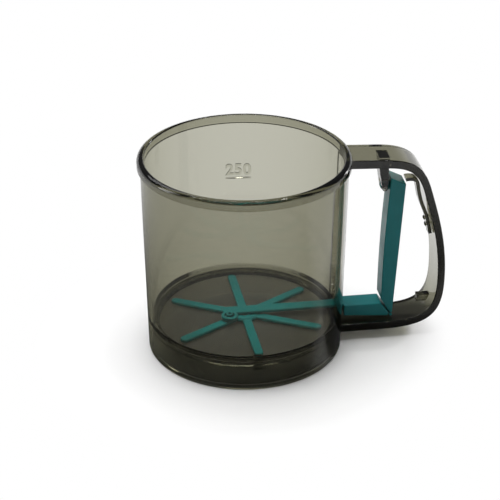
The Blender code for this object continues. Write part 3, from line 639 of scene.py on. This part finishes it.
star = lying("stirrer_moulded", star_outline(), (STAR_TOP - STAR_LOW) / 2, STAR_EDGE,
             (0, 0, (STAR_LOW + STAR_TOP) / 2), rounding=4)
hub = lying("hub", circle(HUB_RADIUS - HUB_STEP), HUB_HALF, HUB_EDGE, (0, 0, HUB_TOP - HUB_HALF))
post = lying("post", circle(POST_RADIUS, 40), POST_HALF, POST_EDGE, raised(crank, POST_TOP - POST_HALF))
for extra in (hub, post):
    combine(star, extra, "UNION")
bore_foot, bore_mouth = raised(crank, POST_TOP - BORE_DEPTH), raised(crank, POST_TOP + 1)
combine(star, rod_between("post_bore", bore_foot, bore_mouth, BORE_RADIUS))
for name, (start, end, radius) in STUD_HOLES.items():
    combine(star, rod_between(name, (0, 0, start), (0, 0, end), radius))
settle(polish(star), teal, "teal_plastic", "stirrer_star")
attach(star, "stirrer")

# %% [markdown]
# ## The push rod
# A deep bar lies in the handle, a thin arm reaches through the window to the far side of the hub, and
# its eye sits round the post with slack, because the post swings on a circle while the rod only slides
# and sways. The bar's outer end is cut on a slant and meets the trigger there.

# %% Join bar, arm and eye
MITRE_WIDTH, MITRE_GAP, HINGE_RADIUS, SWAY_PLAY = 5.4, 0.45, 0.75, 0.65
BAR_DEPTH, BAR_HALF, BAR_EDGE = 5.8, 5.3, 0.5
ROD_ARM_HALF, ROD_ARM_ROOT, ROD_ARM_END, ROD_ARM_EDGE = 3.15, BAR_START + 5.8, -11.5, 0.3
EYE_HOLE, EYE_OUTSIDE, EYE_TOP, EYE_EDGE = 2.7, 4.2, 18.05, 0.35
ACROSS = Vector((0, 12, 0))


def mitre(turn, gap, reach=HINGE_RADIUS):
    """Inner and outer end of one face of the slanted joint, turned about the hinge and set off from it."""
    along = Vector((-MITRE_WIDTH, 0, ROD_TOP - hinge.z))
    along = (Matrix.Rotation(math.radians(turn), 3, "Y") @ along).normalized()
    start = hinge + Vector((-along.z, 0, along.x)) * gap
    inner = start + along * ((hinge.x - MITRE_WIDTH - start.x) / along.x)
    outer = start + along * reach
    return (inner.x, inner.z), (outer.x, outer.z)


bar_inner, bar_outer = mitre(0, MITRE_GAP / 2)
bar_line = [bar_outer, (bar_inner[0], ROD_TOP), (BAR_START, ROD_TOP), (BAR_START, ROD_TOP - BAR_DEPTH),
            (hinge.x - HINGE_RADIUS - SWAY_PLAY, hinge.z - HINGE_RADIUS)]
rod = plate("push_rod_moulded", bar_line, BAR_HALF, BAR_EDGE)
arm_line = [(ROD_ARM_ROOT, ROD_ARM_HALF), (ROD_ARM_END, ROD_ARM_HALF)]
arm_line += arc((crank.x, 0), ROD_ARM_HALF, 180, 270, 8) + [(ROD_ARM_ROOT, -ROD_ARM_HALF)]
arm = lying("rod_arm", arm_line, (ROD_TOP - ROD_LOW) / 2, ROD_ARM_EDGE, (0, 0, (ROD_LOW + ROD_TOP) / 2))
eye = lying("rod_eye", circle(EYE_OUTSIDE), (EYE_TOP - ROD_LOW) / 2, EYE_EDGE,
            raised(crank, (ROD_LOW + EYE_TOP) / 2))
for extra in (arm, eye):
    combine(rod, extra, "UNION")
combine(rod, rod_between("eye_hole", raised(crank, ROD_LOW - 2), raised(crank, EYE_TOP + 2), EYE_HOLE, 56))
combine(rod, rod_between("hinge_seat", hinge - ACROSS, hinge + ACROSS, HINGE_RADIUS + SWAY_PLAY))
settle(polish(rod), teal, "teal_plastic", "push_rod")
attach(rod, "rod")

# %% [markdown]
# ## The trigger
# The squeeze bar is a long wedge with a tongue at the top, which hangs on the pivot pin. The side
# towards the cup is slightly hollow. The slanted foot leaves an open wedge at rest, and that wedge
# closes as the trigger is pulled.

# %% Cut the squeeze bar
TOP_INNER = (pivot.x + 2.7, pivot.z + 5.9)
TOP_OUTER = (TOP_INNER[0] + 7.6, TOP_INNER[1] - 3.8)
TRIGGER_HALF, TRIGGER_EDGE, TRIGGER_BOW, MITRE_OPEN = 5.5, 0.5, -0.7, 7
TONGUE_ROUND, TONGUE_REACH, TONGUE_HALF, TONGUE_EDGE = 1.9, 4.6, 1.6, 0.2
PIN_HOLE = 1.05


def bowed(start, end, bow, steps=16):
    start, end = Vector(start), Vector(end)
    along = end - start
    left = Vector((-along.y, along.x)).normalized()
    shares = [i / steps for i in range(steps)]
    return [tuple(start + along * t + left * (4 * bow * t * (1 - t))) for t in shares]


seat, half_gap = HINGE_RADIUS + GAP, MITRE_GAP / 2
foot_inner, foot_outer = mitre(MITRE_OPEN, -half_gap, math.sqrt(seat ** 2 - half_gap ** 2))
foot_low = (hinge.x + HINGE_RADIUS, hinge.z + 2 * HINGE_RADIUS)
seat_angles = [math.degrees(math.atan2(p[1] - hinge.z, p[0] - hinge.x)) for p in (foot_outer, foot_low)]
trigger_line = [TOP_OUTER] + bowed(TOP_INNER, foot_inner, TRIGGER_BOW)
trigger_line += [foot_inner] + arc((hinge.x, hinge.z), seat, *seat_angles, 8) + [foot_low]
trigger = plate("trigger_moulded", trigger_line, TRIGGER_HALF, TRIGGER_EDGE)
tongue_line = arc((pivot.x, pivot.z), TONGUE_ROUND, 90, 270, 16)
tongue_line += [(pivot.x + TONGUE_REACH, pivot.z + side * TONGUE_ROUND) for side in (-1, 1)]
combine(trigger, plate("tongue", tongue_line, TONGUE_HALF, TONGUE_EDGE), "UNION")
combine(trigger, rod_between("tongue_hole", pivot - ACROSS, pivot + ACROSS, PIN_HOLE))
settle(polish(trigger), teal, "teal_plastic", "trigger_lever")
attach(trigger, "trigger")

# %% [markdown]
# ## The handle
# One flat band is bent into a D: a straight arm that meets the lip, a round shoulder, a bellied grip
# and a foot that runs back to the cup. Three cubic curves give the bend, once for the outside and once
# for the inside, because the band is thinner in the grip than in the arms. The saddle, the stop in the
# lower corner and the pockets are added after.

# %% Bend the band
GRIP_REACH, ARM_TOP = 101.4, 100.7
ARM_THICK, GRIP_THICK, FOOT_THICK, HANDLE_EDGE = 4.5, 3.8, 4.3, 0.5
ARM_SLOPE, TOP_BEND, FOOT_BEND = math.radians(2.5), 35.2, 33.6
SHOULDER_INSET, SHOULDER_DROP, SHOULDER_SLOPE, BELLY_RISE = 9.5, 17.5, math.radians(-72.5), 27.2
TOP_PULL, SHOULDER_PULL, SIDE_PULL, BELLY_PULL, FOOT_PULL = 0.485, 0.36, 0.37, 0.805, 0.77
TOP_TUCK, SHOULDER_TUCK, BELLY_TUCK, FOOT_TUCK = 1.4, 0.2, 0.2, 0.97


def cubic(start, start_pull, end_pull, end, steps=28):
    points = []
    for i in range(steps):
        t, s = i / steps, 1 - i / steps
        points.append(tuple(start * s ** 3 + start_pull * 3 * s * s * t
                            + end_pull * 3 * s * t * t + end * t ** 3))
    return points


def band_edge(arm_inset, grip_inset, foot_inset):
    slope = Vector((math.cos(SHOULDER_SLOPE), math.sin(SHOULDER_SLOPE)))
    along_arm = Vector((math.cos(ARM_SLOPE), -math.sin(ARM_SLOPE)))
    down = Vector((0, -1))
    top = Vector((GRIP_REACH - TOP_BEND, ARM_TOP - arm_inset))
    shoulder = Vector((GRIP_REACH - SHOULDER_INSET, ARM_TOP - SHOULDER_DROP))
    shoulder += Vector((slope.y, -slope.x)) * grip_inset
    belly = Vector((GRIP_REACH - grip_inset, FOOT_HEIGHT + BELLY_RISE))
    foot = Vector((GRIP_REACH - FOOT_BEND, FOOT_HEIGHT + foot_inset))
    side_pull = SIDE_PULL * (shoulder.y - belly.y)
    edge = [tuple(top - along_arm * top.x)]
    edge += cubic(top, top + along_arm * (TOP_PULL * TOP_BEND - TOP_TUCK * grip_inset),
                  shoulder - slope * (SHOULDER_PULL * TOP_BEND + SHOULDER_TUCK * grip_inset), shoulder)
    edge += cubic(shoulder, shoulder + slope * side_pull, belly - down * side_pull, belly)
    edge += cubic(belly, belly + down * (BELLY_PULL * BELLY_RISE - BELLY_TUCK * grip_inset),
                  foot + Vector((FOOT_PULL * FOOT_BEND - FOOT_TUCK * foot_inset, 0)), foot)
    return edge + [tuple(foot), (0, foot.y)]


def grip_inside(height):
    """Point on the inner face of the grip at a height, and the way along it there."""
    edge = band_edge(ARM_THICK, GRIP_THICK, FOOT_THICK)
    for (x0, z0), (x1, z1) in zip(edge, edge[1:]):
        if z0 >= height > z1:
            share = (z0 - height) / (z0 - z1)
            return Vector((x0 + (x1 - x0) * share, 0, height)), Vector((x1 - x0, 0, z1 - z0)).normalized()


outline = band_edge(0, 0, 0) + band_edge(ARM_THICK, GRIP_THICK, FOOT_THICK)[::-1]
handle = plate("handle_clear", outline, HANDLE_WIDTH / 2, HANDLE_EDGE)
print("handle outline:", len(outline), "points")

# %% [markdown]
# ## Saddle, stop and pockets
# The saddle is the same strip of tube that cut the seat, a little smaller. A turned body clears the
# band away where the cup is. Then come the stop tab, the pocket for the trigger's bracket, the rod's
# window and two peg holes.

# %% Fit the handle to the cup
SNUG, SADDLE_PROUD, SADDLE_PLAY, CLEAR_TOP = 0.05, 0.1, 0.04, 109
combine(handle, saddle_strip("saddle", -WALL, SADDLE_PROUD, -SADDLE_PLAY), "UNION")
seat_high = LIP_LOW - 2 * GAP
heights = [seat_high * i / SEAT_ROWS for i in range(SEAT_ROWS, -1, -1)]
cup_room = [(0, CLEAR_TOP), (LIP_RADIUS + SNUG, CLEAR_TOP), (LIP_RADIUS + SNUG, LIP_LOW - GAP),
            (TOP_RADIUS + GAP, LIP_LOW - GAP), (TOP_RADIUS + GAP, seat_high)]
cup_room += [(outside(h) - SEAT_DEPTH + GAP, h) for h in heights] + [(0, 0)]
combine(handle, turned("cup_clearance", cup_room, closed=False))
print("handle fitted to the cup:", len(handle.data.polygons), "faces")

# %% Add the stop, the pocket and the holes
TAB_MIDDLE, TAB_RISE, TAB_REACH, TAB_HALF, TAB_EDGE = FOOT_HEIGHT + 12.4, 1.95, 5.8, 1.9, 0.25
ARM_LOW, BRACKET_ROUND, BRACKET_LENGTH, BRACKET_SINK = ARM_TOP - ARM_THICK, 1.5, 4.9, 1.2
POCKET_HALF, POCKET_DROP = 4.8, 2.25
LEAF_FOOT_LOW, LEAF_FOOT_HIGH, PEG_SHARES = pivot.z - 27.4, pivot.z - 16.9, (0.45, 0.8)
PEG_HOLE_START, PEG_HOLE_END = 0.8, 2.1


def peg_holes(piece, start, end):
    for face, out in peg_spots:
        combine(piece, rod_between("peg_hole", face - out * start, face + out * end, PIN_HOLE))


tab_low, tab_high = TAB_MIDDLE - TAB_RISE, TAB_MIDDLE + TAB_RISE
tab_end = grip_inside(TAB_MIDDLE)[0].x - TAB_REACH
tab_line = [(tab_end, tab_low), (tab_end, tab_high)]
tab_line += [(grip_inside(h)[0].x + GRIP_THICK / 2, h) for h in (tab_high, tab_low)]
combine(handle, plate("stop_tab", tab_line, TAB_HALF, TAB_EDGE), "UNION")
bracket_right = pivot.x + BRACKET_ROUND
bracket_left, bracket_top = bracket_right - BRACKET_LENGTH, ARM_LOW + BRACKET_SINK
combine(handle, box("bracket_pocket", (bracket_left - GAP, -POCKET_HALF, ARM_LOW - POCKET_DROP),
                    (bracket_right + GAP, POCKET_HALF, bracket_top + GAP)))
combine(handle, rod_window())
peg_spots = []
for share in PEG_SHARES:
    face, along = grip_inside(LEAF_FOOT_LOW + (LEAF_FOOT_HIGH - LEAF_FOOT_LOW) * share)
    peg_spots.append((face, Vector((-along.z, 0, along.x))))
peg_holes(handle, PEG_HOLE_START, PEG_HOLE_END)
settle(polish(handle), handle_smoky, "smoky_plastic", "handle_frame")
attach(handle, "cup")

# %% [markdown]
# ## The pivot bracket
# Two clear cheeks hang under the arm and hold the pin. The front cheek is blind, so the pin shows only
# from behind.

# %% Cut the bracket
BRACKET_HALF, BRACKET_EDGE, BRACKET_SHOULDER = 4.5, 0.25, 1.5
SLOT_HALF, SLOT_REACH = 1.9, 3.8
bracket_line = [(bracket_right, bracket_top), (bracket_right, pivot.z)]
bracket_line += arc((pivot.x, pivot.z), BRACKET_ROUND, 0, -180, 20)[1:]
bracket_line += [(bracket_left, ARM_LOW - BRACKET_SHOULDER), (bracket_left, bracket_top)]
bracket = plate("bracket_clear", bracket_line, BRACKET_HALF, BRACKET_EDGE)
combine(bracket, box("tongue_slot", (bracket_left - OVERCUT, -SLOT_HALF, pivot.z - SLOT_REACH),
                     (bracket_right + OVERCUT, SLOT_HALF, pivot.z + SLOT_REACH)))
BLIND_END, OPEN_END = Vector((0, -4, 0)), Vector((0, 9, 0))
combine(bracket, rod_between("pin_hole", pivot + BLIND_END, pivot + OPEN_END, PIN_HOLE))
settle(polish(bracket), deep_smoky, "smoky_plastic", "pivot_bracket")
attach(bracket, "cup")

# %% [markdown]
# ## The return spring
# A bowed leaf of dark clear plastic is pegged to the inside of the grip, and its hooked end rests on
# the trigger's shoulder. When the trigger is squeezed the hook is lifted, so the leaf has to bend.
# Riding on one body it would tear away from the other; here it is tied to no body and stays where it lies
# at rest.

# %% Draw the leaf and its pegs
LEAF_THICK, LEAF_WIDTH, LEAF_EDGE = 1.8, 5.5, 0.2
LEAF_BOW, LEAF_HEAD = 0.9, pivot.z + 1.6
HOOK_SIDE, HOOK_RISE, HOOK_TURN = Vector((0.4, 0.9)), 2.3, Vector((2.3, 0.46))
LEAF_HOLE_START, LEAF_HOLE_END = 5.5, 0.15
PEG_PROFILE = [(0, 0.7), (0.5, 0.66), (0.95, 0.5), (1.22, 0.25), (1.3, 0),
               (0.8, 0), (0.8, -4.0), (0.6, -4.2), (0, -4.2)]


def leaf_line(steps=28):
    line = []
    for i in range(steps + 1):
        height = LEAF_FOOT_LOW + (LEAF_HEAD - LEAF_FOOT_LOW) * i / steps
        face, along = grip_inside(height)
        free = max(0.0, (height - LEAF_FOOT_HIGH) / (LEAF_HEAD - LEAF_FOOT_HIGH))
        away = GAP + LEAF_THICK / 2 + LEAF_BOW * math.sin(math.pi * free)
        line.append(Vector((face.x + along.z * away, height - along.x * away)))
    upward = (line[-1] - line[-4]).normalized()
    tip = Vector(TOP_OUTER) + HOOK_SIDE.normalized() * (GAP + LEAF_THICK / 2)
    hook = cubic(line[-1], line[-1] + upward * HOOK_RISE, tip + HOOK_TURN, tip, 16)
    return [tuple(p) for p in line[:-1]] + hook + [tuple(tip)]


def ribbon(line, thick):
    points = [Vector(p) for p in line]
    left, right = [], []
    for i, point in enumerate(points):
        along = (points[min(i + 1, len(points) - 1)] - points[max(i - 1, 0)]).normalized()
        aside = Vector((-along.y, along.x)) * thick / 2
        left.append(tuple(point + aside))
        right.append(tuple(point - aside))
    return left + right[::-1]


leaf = plate("spring_leaf", ribbon(leaf_line(), LEAF_THICK), LEAF_WIDTH / 2, LEAF_EDGE)
peg_holes(leaf, LEAF_HOLE_START, LEAF_HOLE_END)
settle(polish(leaf), deep_smoky, "smoky_plastic", "return_spring")
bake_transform(leaf)

for name, (face, out) in zip(("spring_peg_lower", "spring_peg_upper"), peg_spots):
    peg = turned(name.replace("spring_peg", "peg_clear"), PEG_PROFILE, 40, closed=False)
    turn = (-out).to_track_quat("Z", "Y").to_matrix().to_4x4()
    peg.data.transform(Matrix.Translation(face - out * (2 * GAP + LEAF_THICK)) @ turn)
    settle(polish(peg), deep_smoky, "smoky_plastic", name)
    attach(peg, "cup")

# %% [markdown]
# ## Small pieces that are right as they are
# The pin, the stud, its two washers and the hinge strip are simple round pieces, and their solids need
# no second moulding. They keep their places in the frame and only take a finish.

# %% Finish the small solids
for name in ("trigger_pivot_pin", "pivot_stud", "mesh_washer_upper", "mesh_washer_lower", "hinge_strip"):
    node = frame["nodes"][name]
    node.data.materials.clear()
    node.data.materials.append({"hinge_strip": teal, "trigger_pivot_pin": dark_steel}.get(name, brushed_steel))
    print(name, "takes", node.data.materials[0].name)

# %% [markdown]
# ## Floor and room
# The picture is white all round with one soft shadow, yet the top of the lip and the bends of the
# handle mirror something dark. So the room is sorted by what a ray has done. A ray that comes straight
# meets white, and so does one that plastic or steel has bent or mirrored, as long as it runs low.
# Higher up such a ray meets a dim ceiling in which only the lamps shine. A ray that carries light to a
# matt surface meets a weak glow from the left and above. The floor is sorted too: it takes the shadow
# near the sifter and fades into white further out, and seen through plastic it gets a painted shade, a
# black glow under the cup and the handle. What a mirror sees of it is a painted reflection: dim near the
# sifter and white further out. One pale strip beside the handle is a painted reflection for mirrors
# only, and the cup shows it as a soft upright streak.

# %% Ray tests for the room


def node_sums(nodes, links):
    """Short names for the sums, soft ramps and mixtures of one material."""

    def calc(operation, *values):
        node = nodes.new("ShaderNodeMath")
        node.operation = operation
        for socket, value in zip(node.inputs, values):
            if isinstance(value, (int, float)):
                socket.default_value = value
            else:
                links.new(value, socket)
        return node.outputs[0]

    def ramp(source, low, high, first, last):
        return spread(nodes, links, source, low, high, first, last, "SMOOTHSTEP")

    def mixed(share, first, second):
        node = nodes.new("ShaderNodeMixShader")
        for socket, source in zip(node.inputs, (share, first, second)):
            links.new(source, socket)
        return node.outputs[0]

    return calc, ramp, mixed


def ray_kinds(nodes, calc):
    """Rays that come straight, through plastic or mirrored, as long as no matt bounce came before."""
    path = nodes.new("ShaderNodeLightPath")
    first = calc("LESS_THAN", path.outputs["Diffuse Depth"], 0.5)
    through = path.outputs["Is Transmission Ray"]
    mirrored = calc("GREATER_THAN", path.outputs["Is Glossy Ray"], through)
    return [calc("MULTIPLY", kind, first) for kind in (path.outputs["Is Camera Ray"], through, mirrored)]


def toward(nodes, links, way, direction):
    """How far a way runs in one direction."""
    node = nodes.new("ShaderNodeVectorMath")
    node.operation = "DOT_PRODUCT"
    node.inputs[1].default_value = direction
    links.new(way, node.inputs[0])
    return node.outputs["Value"]


def even_light(nodes, kind, grey):
    node = nodes.new(kind)
    node.inputs["Color"].default_value = (grey, grey, grey, 1)
    node.inputs["Strength"].default_value = 1.0
    return node.outputs[0]


# %% White backdrop under a dim ceiling
BRIGHT_SIDE, SIDE_SPAN = Vector((-0.70, 0.35, 0.65)).normalized(), (-0.3, 0.8)
DIM_SIDE, FULL_SIDE, DIM_CEILING = 0.08, 0.40, 0.12
CEILING_SPAN = (0.08, 0.35)
room = bpy.data.worlds.new("white_room")
bpy.context.scene.world = room
room.use_nodes = True
nodes, links = room.node_tree.nodes, room.node_tree.links
calc, ramp, mixed = node_sums(nodes, links)
way = nodes.new("ShaderNodeTexCoord").outputs["Generated"]
split = nodes.new("ShaderNodeSeparateXYZ")
links.new(way, split.inputs[0])
straight, through, mirrored = ray_kinds(nodes, calc)
bent = calc("MAXIMUM", through, mirrored)
shown = calc("MAXIMUM", straight, bent)
side = ramp(toward(nodes, links, way, BRIGHT_SIDE), *SIDE_SPAN, DIM_SIDE, FULL_SIDE)
carried = calc("MULTIPLY", side, calc("SUBTRACT", 1.0, shown))
lit = nodes["Background"]
lit.inputs["Color"].default_value = (1, 1, 1, 1)
links.new(calc("ADD", carried, calc("MULTIPLY", shown, DIM_CEILING)), lit.inputs["Strength"])
low_down = calc("MULTIPLY", bent, ramp(split.outputs["Z"], *CEILING_SPAN, 1.0, 0.0))
plain = calc("MAXIMUM", straight, low_down)
white = even_light(nodes, "ShaderNodeBackground", 1.0)
links.new(mixed(plain, lit.outputs[0], white), nodes["World Output"].inputs["Surface"])
print("room: white low down,", DIM_CEILING, "overhead, light from", DIM_SIDE, "to", FULL_SIDE)

# %% Distances on the floor
HANDLE_START, HANDLE_END, ROOT_END = 0.02, 0.07, 0.04
floor_finish, nodes, links, shader = new_finish("pale_floor")
calc, ramp, mixed = node_sums(nodes, links)
place = nodes.new("ShaderNodeTexCoord").outputs["Object"]
split = nodes.new("ShaderNodeSeparateXYZ")
links.new(place, split.inputs[0])
lengthwise, crosswise = split.outputs["X"], split.outputs["Y"]


def beyond(start, end, reach):
    """How far a point of the floor is outside a rounded bar that lies along the handle."""
    past = calc("SUBTRACT", lengthwise, calc("MINIMUM", calc("MAXIMUM", lengthwise, start), end))
    square = calc("ADD", calc("MULTIPLY", past, past), calc("MULTIPLY", crosswise, crosswise))
    return calc("SUBTRACT", calc("SQRT", square), reach)


cup_clear = beyond(cup_axis.x, cup_axis.x, FOOT_RADIUS * MM)
handle_clear = beyond(HANDLE_START, HANDLE_END, HANDLE_WIDTH / 2 * MM)
root_clear = beyond(HANDLE_START, ROOT_END, HANDLE_WIDTH / 2 * MM)
clear = calc("MINIMUM", cup_clear, handle_clear)
print("floor sums:", len(nodes), "nodes")

# %% Pale floor that fades to white for the eye, with painted shade under the sifter through plastic
FLOOR_SEEN, FLOOR_RETURNED, FLOOR_ROUGHNESS, FLOOR_SHINE = 0.82, 0.45, 0.28, 0.35
HALO, HALO_SPAN, WHITE_SPAN, ROOT_SPAN = 0.30, (-0.001, 0.012), (0.02, 0.06), (0.008, 0.02)
BEHIND_CUP, BEHIND_HANDLE = (0.0, 0.03), (0.008, 0.045)
CUP_PAINTED_SHADE, UNDER_CUP, HANDLE_PAINTED_SHADE, UNDER_HANDLE = 0.9, (-0.008, 0.006), 0.85, (0.005, 0.04)
carrying = nodes.new("ShaderNodeLightPath").outputs["Is Diffuse Ray"]
two_tone(nodes, links, shader, carrying, (FLOOR_SEEN,) * 3, (FLOOR_RETURNED,) * 3)
shader.inputs["Roughness"].default_value = FLOOR_ROUGHNESS
shader.inputs["Specular IOR Level"].default_value = FLOOR_SHINE
straight, through, mirrored = ray_kinds(nodes, calc)
cup_white = calc("MAXIMUM", ramp(cup_clear, *HALO_SPAN, 0.0, HALO), ramp(cup_clear, *WHITE_SPAN, 0.0, 1.0))
handle_white = ramp(root_clear, *ROOT_SPAN, 0.0, 1.0)
eye_share = calc("MULTIPLY", straight, calc("MINIMUM", cup_white, handle_white))
behind = calc("MINIMUM", ramp(cup_clear, *BEHIND_CUP, 0.0, 1.0), ramp(handle_clear, *BEHIND_HANDLE, 0.0, 1.0))
white_share = calc("MAXIMUM", eye_share, calc("MULTIPLY", through, behind))
# Painted shade: seen through plastic, the floor under the cup and the handle turns into a black glow.
painted_shade_under_cup = ramp(cup_clear, *UNDER_CUP, CUP_PAINTED_SHADE, 0.0)
painted_shade_under_handle = ramp(handle_clear, *UNDER_HANDLE, HANDLE_PAINTED_SHADE, 0.0)
painted_shade_share = calc("MULTIPLY", through, calc("MAXIMUM", painted_shade_under_cup, painted_shade_under_handle))
floor_with_painted_shade = mixed(painted_shade_share, shader.outputs[0], even_light(nodes, "ShaderNodeEmission", 0.0))
seen = mixed(white_share, floor_with_painted_shade, even_light(nodes, "ShaderNodeEmission", 1.0))
print("floor to the eye and through plastic:", len(nodes), "nodes")

# %% The floor's painted reflection, as mirrors see it
BACKWARD, BACK_SPAN = (1.0, 0.8, 0.0), (-0.005, 0.09)
HANDLE_LEVEL, HANDLE_SPAN = 0.1, (0.0, 0.05)
NEAR_REFLECTION_SHADE, FAR_SPAN = 0.04, (0.0, 0.25)
PAINTED_STRIP_LEVEL, STRIP_RISE, STRIP_FALL, STRIP_START = 0.40, (-0.052, -0.036), (-0.033, -0.024), (0.0, 0.02)
# Painted reflection: mirrors see a glow, not the lit floor: dim near the sifter, white further out, brighter
# to the back and right.
painted_back_reflection = ramp(toward(nodes, links, place, BACKWARD), *BACK_SPAN, 0.0, 1.0)
painted_back_reflection = calc("MULTIPLY", ramp(handle_clear, *HANDLE_SPAN, HANDLE_LEVEL, 1.0), painted_back_reflection)
painted_floor_reflection = calc("MAXIMUM", ramp(clear, *FAR_SPAN, NEAR_REFLECTION_SHADE, 1.0), painted_back_reflection)
# Painted reflection: a pale strip beside the handle, seen only in mirrors, which the cup shows as a soft
# upright streak.
strip = ramp(crosswise, *STRIP_RISE, 0.0, PAINTED_STRIP_LEVEL)
for edge in (ramp(crosswise, *STRIP_FALL, 1.0, 0.0), ramp(lengthwise, *STRIP_START, 0.0, 1.0)):
    strip = calc("MULTIPLY", strip, edge)
painted_reflection = nodes.new("ShaderNodeEmission")
painted_reflection.inputs["Color"].default_value = (1, 1, 1, 1)
links.new(calc("MAXIMUM", painted_floor_reflection, strip), painted_reflection.inputs["Strength"])
links.new(mixed(mirrored, seen, painted_reflection.outputs[0]), nodes["Material Output"].inputs["Surface"])
print("floor with its mirror image:", len(nodes), "nodes")

# %% Lay the floor
FLOOR_RADIUS, FLOOR_DROP = 3.0, 0.2
bm = bmesh.new()
bmesh.ops.create_circle(bm, cap_ends=True, segments=96, radius=FLOOR_RADIUS)
floor = built("floor", bm)
floor.location.z = -FLOOR_DROP * MM
floor.data.materials.append(floor_finish)
print("floor:", 2 * FLOOR_RADIUS, "m across")

# %% [markdown]
# ## Lamps and camera
# One large soft lamp hangs over the cup and lights the star through the open top. It is split in two:
# the strong half only lights matt surfaces, and the weak half is what shiny ones mirror, since the real
# lip is nearly black on top. Three weaker lamps, behind and at both sides, draw bright lines along the
# rims. The front is left without a lamp, as the dark face of the handle tells. The camera is a long
# lens from a little to the left and well above, which is where the sizes of the rim and the foot put
# it.

# %% Light the sifter
OVERHEAD, CUP_MIDDLE = (-0.03, 0.05, 1.0), (-0.02, 0, 0.03)


def soft_lamp(name, place, aim, size, power, on_matt=True, in_mirrors=True):
    lamp = bpy.data.lights.new(name, "AREA")
    lamp.shape = "RECTANGLE"
    lamp.size, lamp.size_y = size
    lamp.energy = power
    stand = bpy.data.objects.new(name, lamp)
    bpy.context.scene.collection.objects.link(stand)
    stand.location = place
    stand.rotation_euler = (Vector(aim) - Vector(place)).to_track_quat("-Z", "Y").to_euler()
    stand.visible_diffuse, stand.visible_glossy = on_matt, in_mirrors
    print(name, "has", power, "W")


soft_lamp("top_softbox", OVERHEAD, CUP_MIDDLE, (0.6, 0.6), 11.5, in_mirrors=False)
soft_lamp("top_sparkle", OVERHEAD, CUP_MIDDLE, (0.7, 0.7), 6.5, on_matt=False)
soft_lamp("rear_softbox", (-0.35, 0.85, 0.95), (0, 0, 0.05), (0.8, 0.4), 1.5)
soft_lamp("left_softbox", (-1.0, 0.1, 0.5), (0, 0, 0.06), (0.3, 0.8), 2.5)
soft_lamp("right_strip", (1.0, 0.65, 0.25), (0, 0, 0.06), (0.15, 0.5), 1.2)

# %% Frame the sifter
CAMERA_PLACE, CAMERA_AIM = Vector((-96.05, -702.86, 430.11)), Vector((2.68, -0.38, 51.2))
LENS_PIXELS, PICTURE_PIXELS, SENSOR = 1607.3, 500, 36.0
camera = bpy.data.cameras.new("long_lens")
camera.sensor_width = SENSOR
camera.lens = LENS_PIXELS / PICTURE_PIXELS * SENSOR
camera.clip_start, camera.clip_end = 0.05, 20
eye_point = bpy.data.objects.new("long_lens", camera)
bpy.context.scene.collection.objects.link(eye_point)
eye_point.location = cup_axis + CAMERA_PLACE * MM
eye_point.rotation_euler = (CAMERA_AIM - CAMERA_PLACE).to_track_quat("-Z", "Y").to_euler()
scene = bpy.context.scene
scene.camera = eye_point
scene.view_settings.view_transform = "Standard"
print("lens", round(camera.lens, 1), "mm")
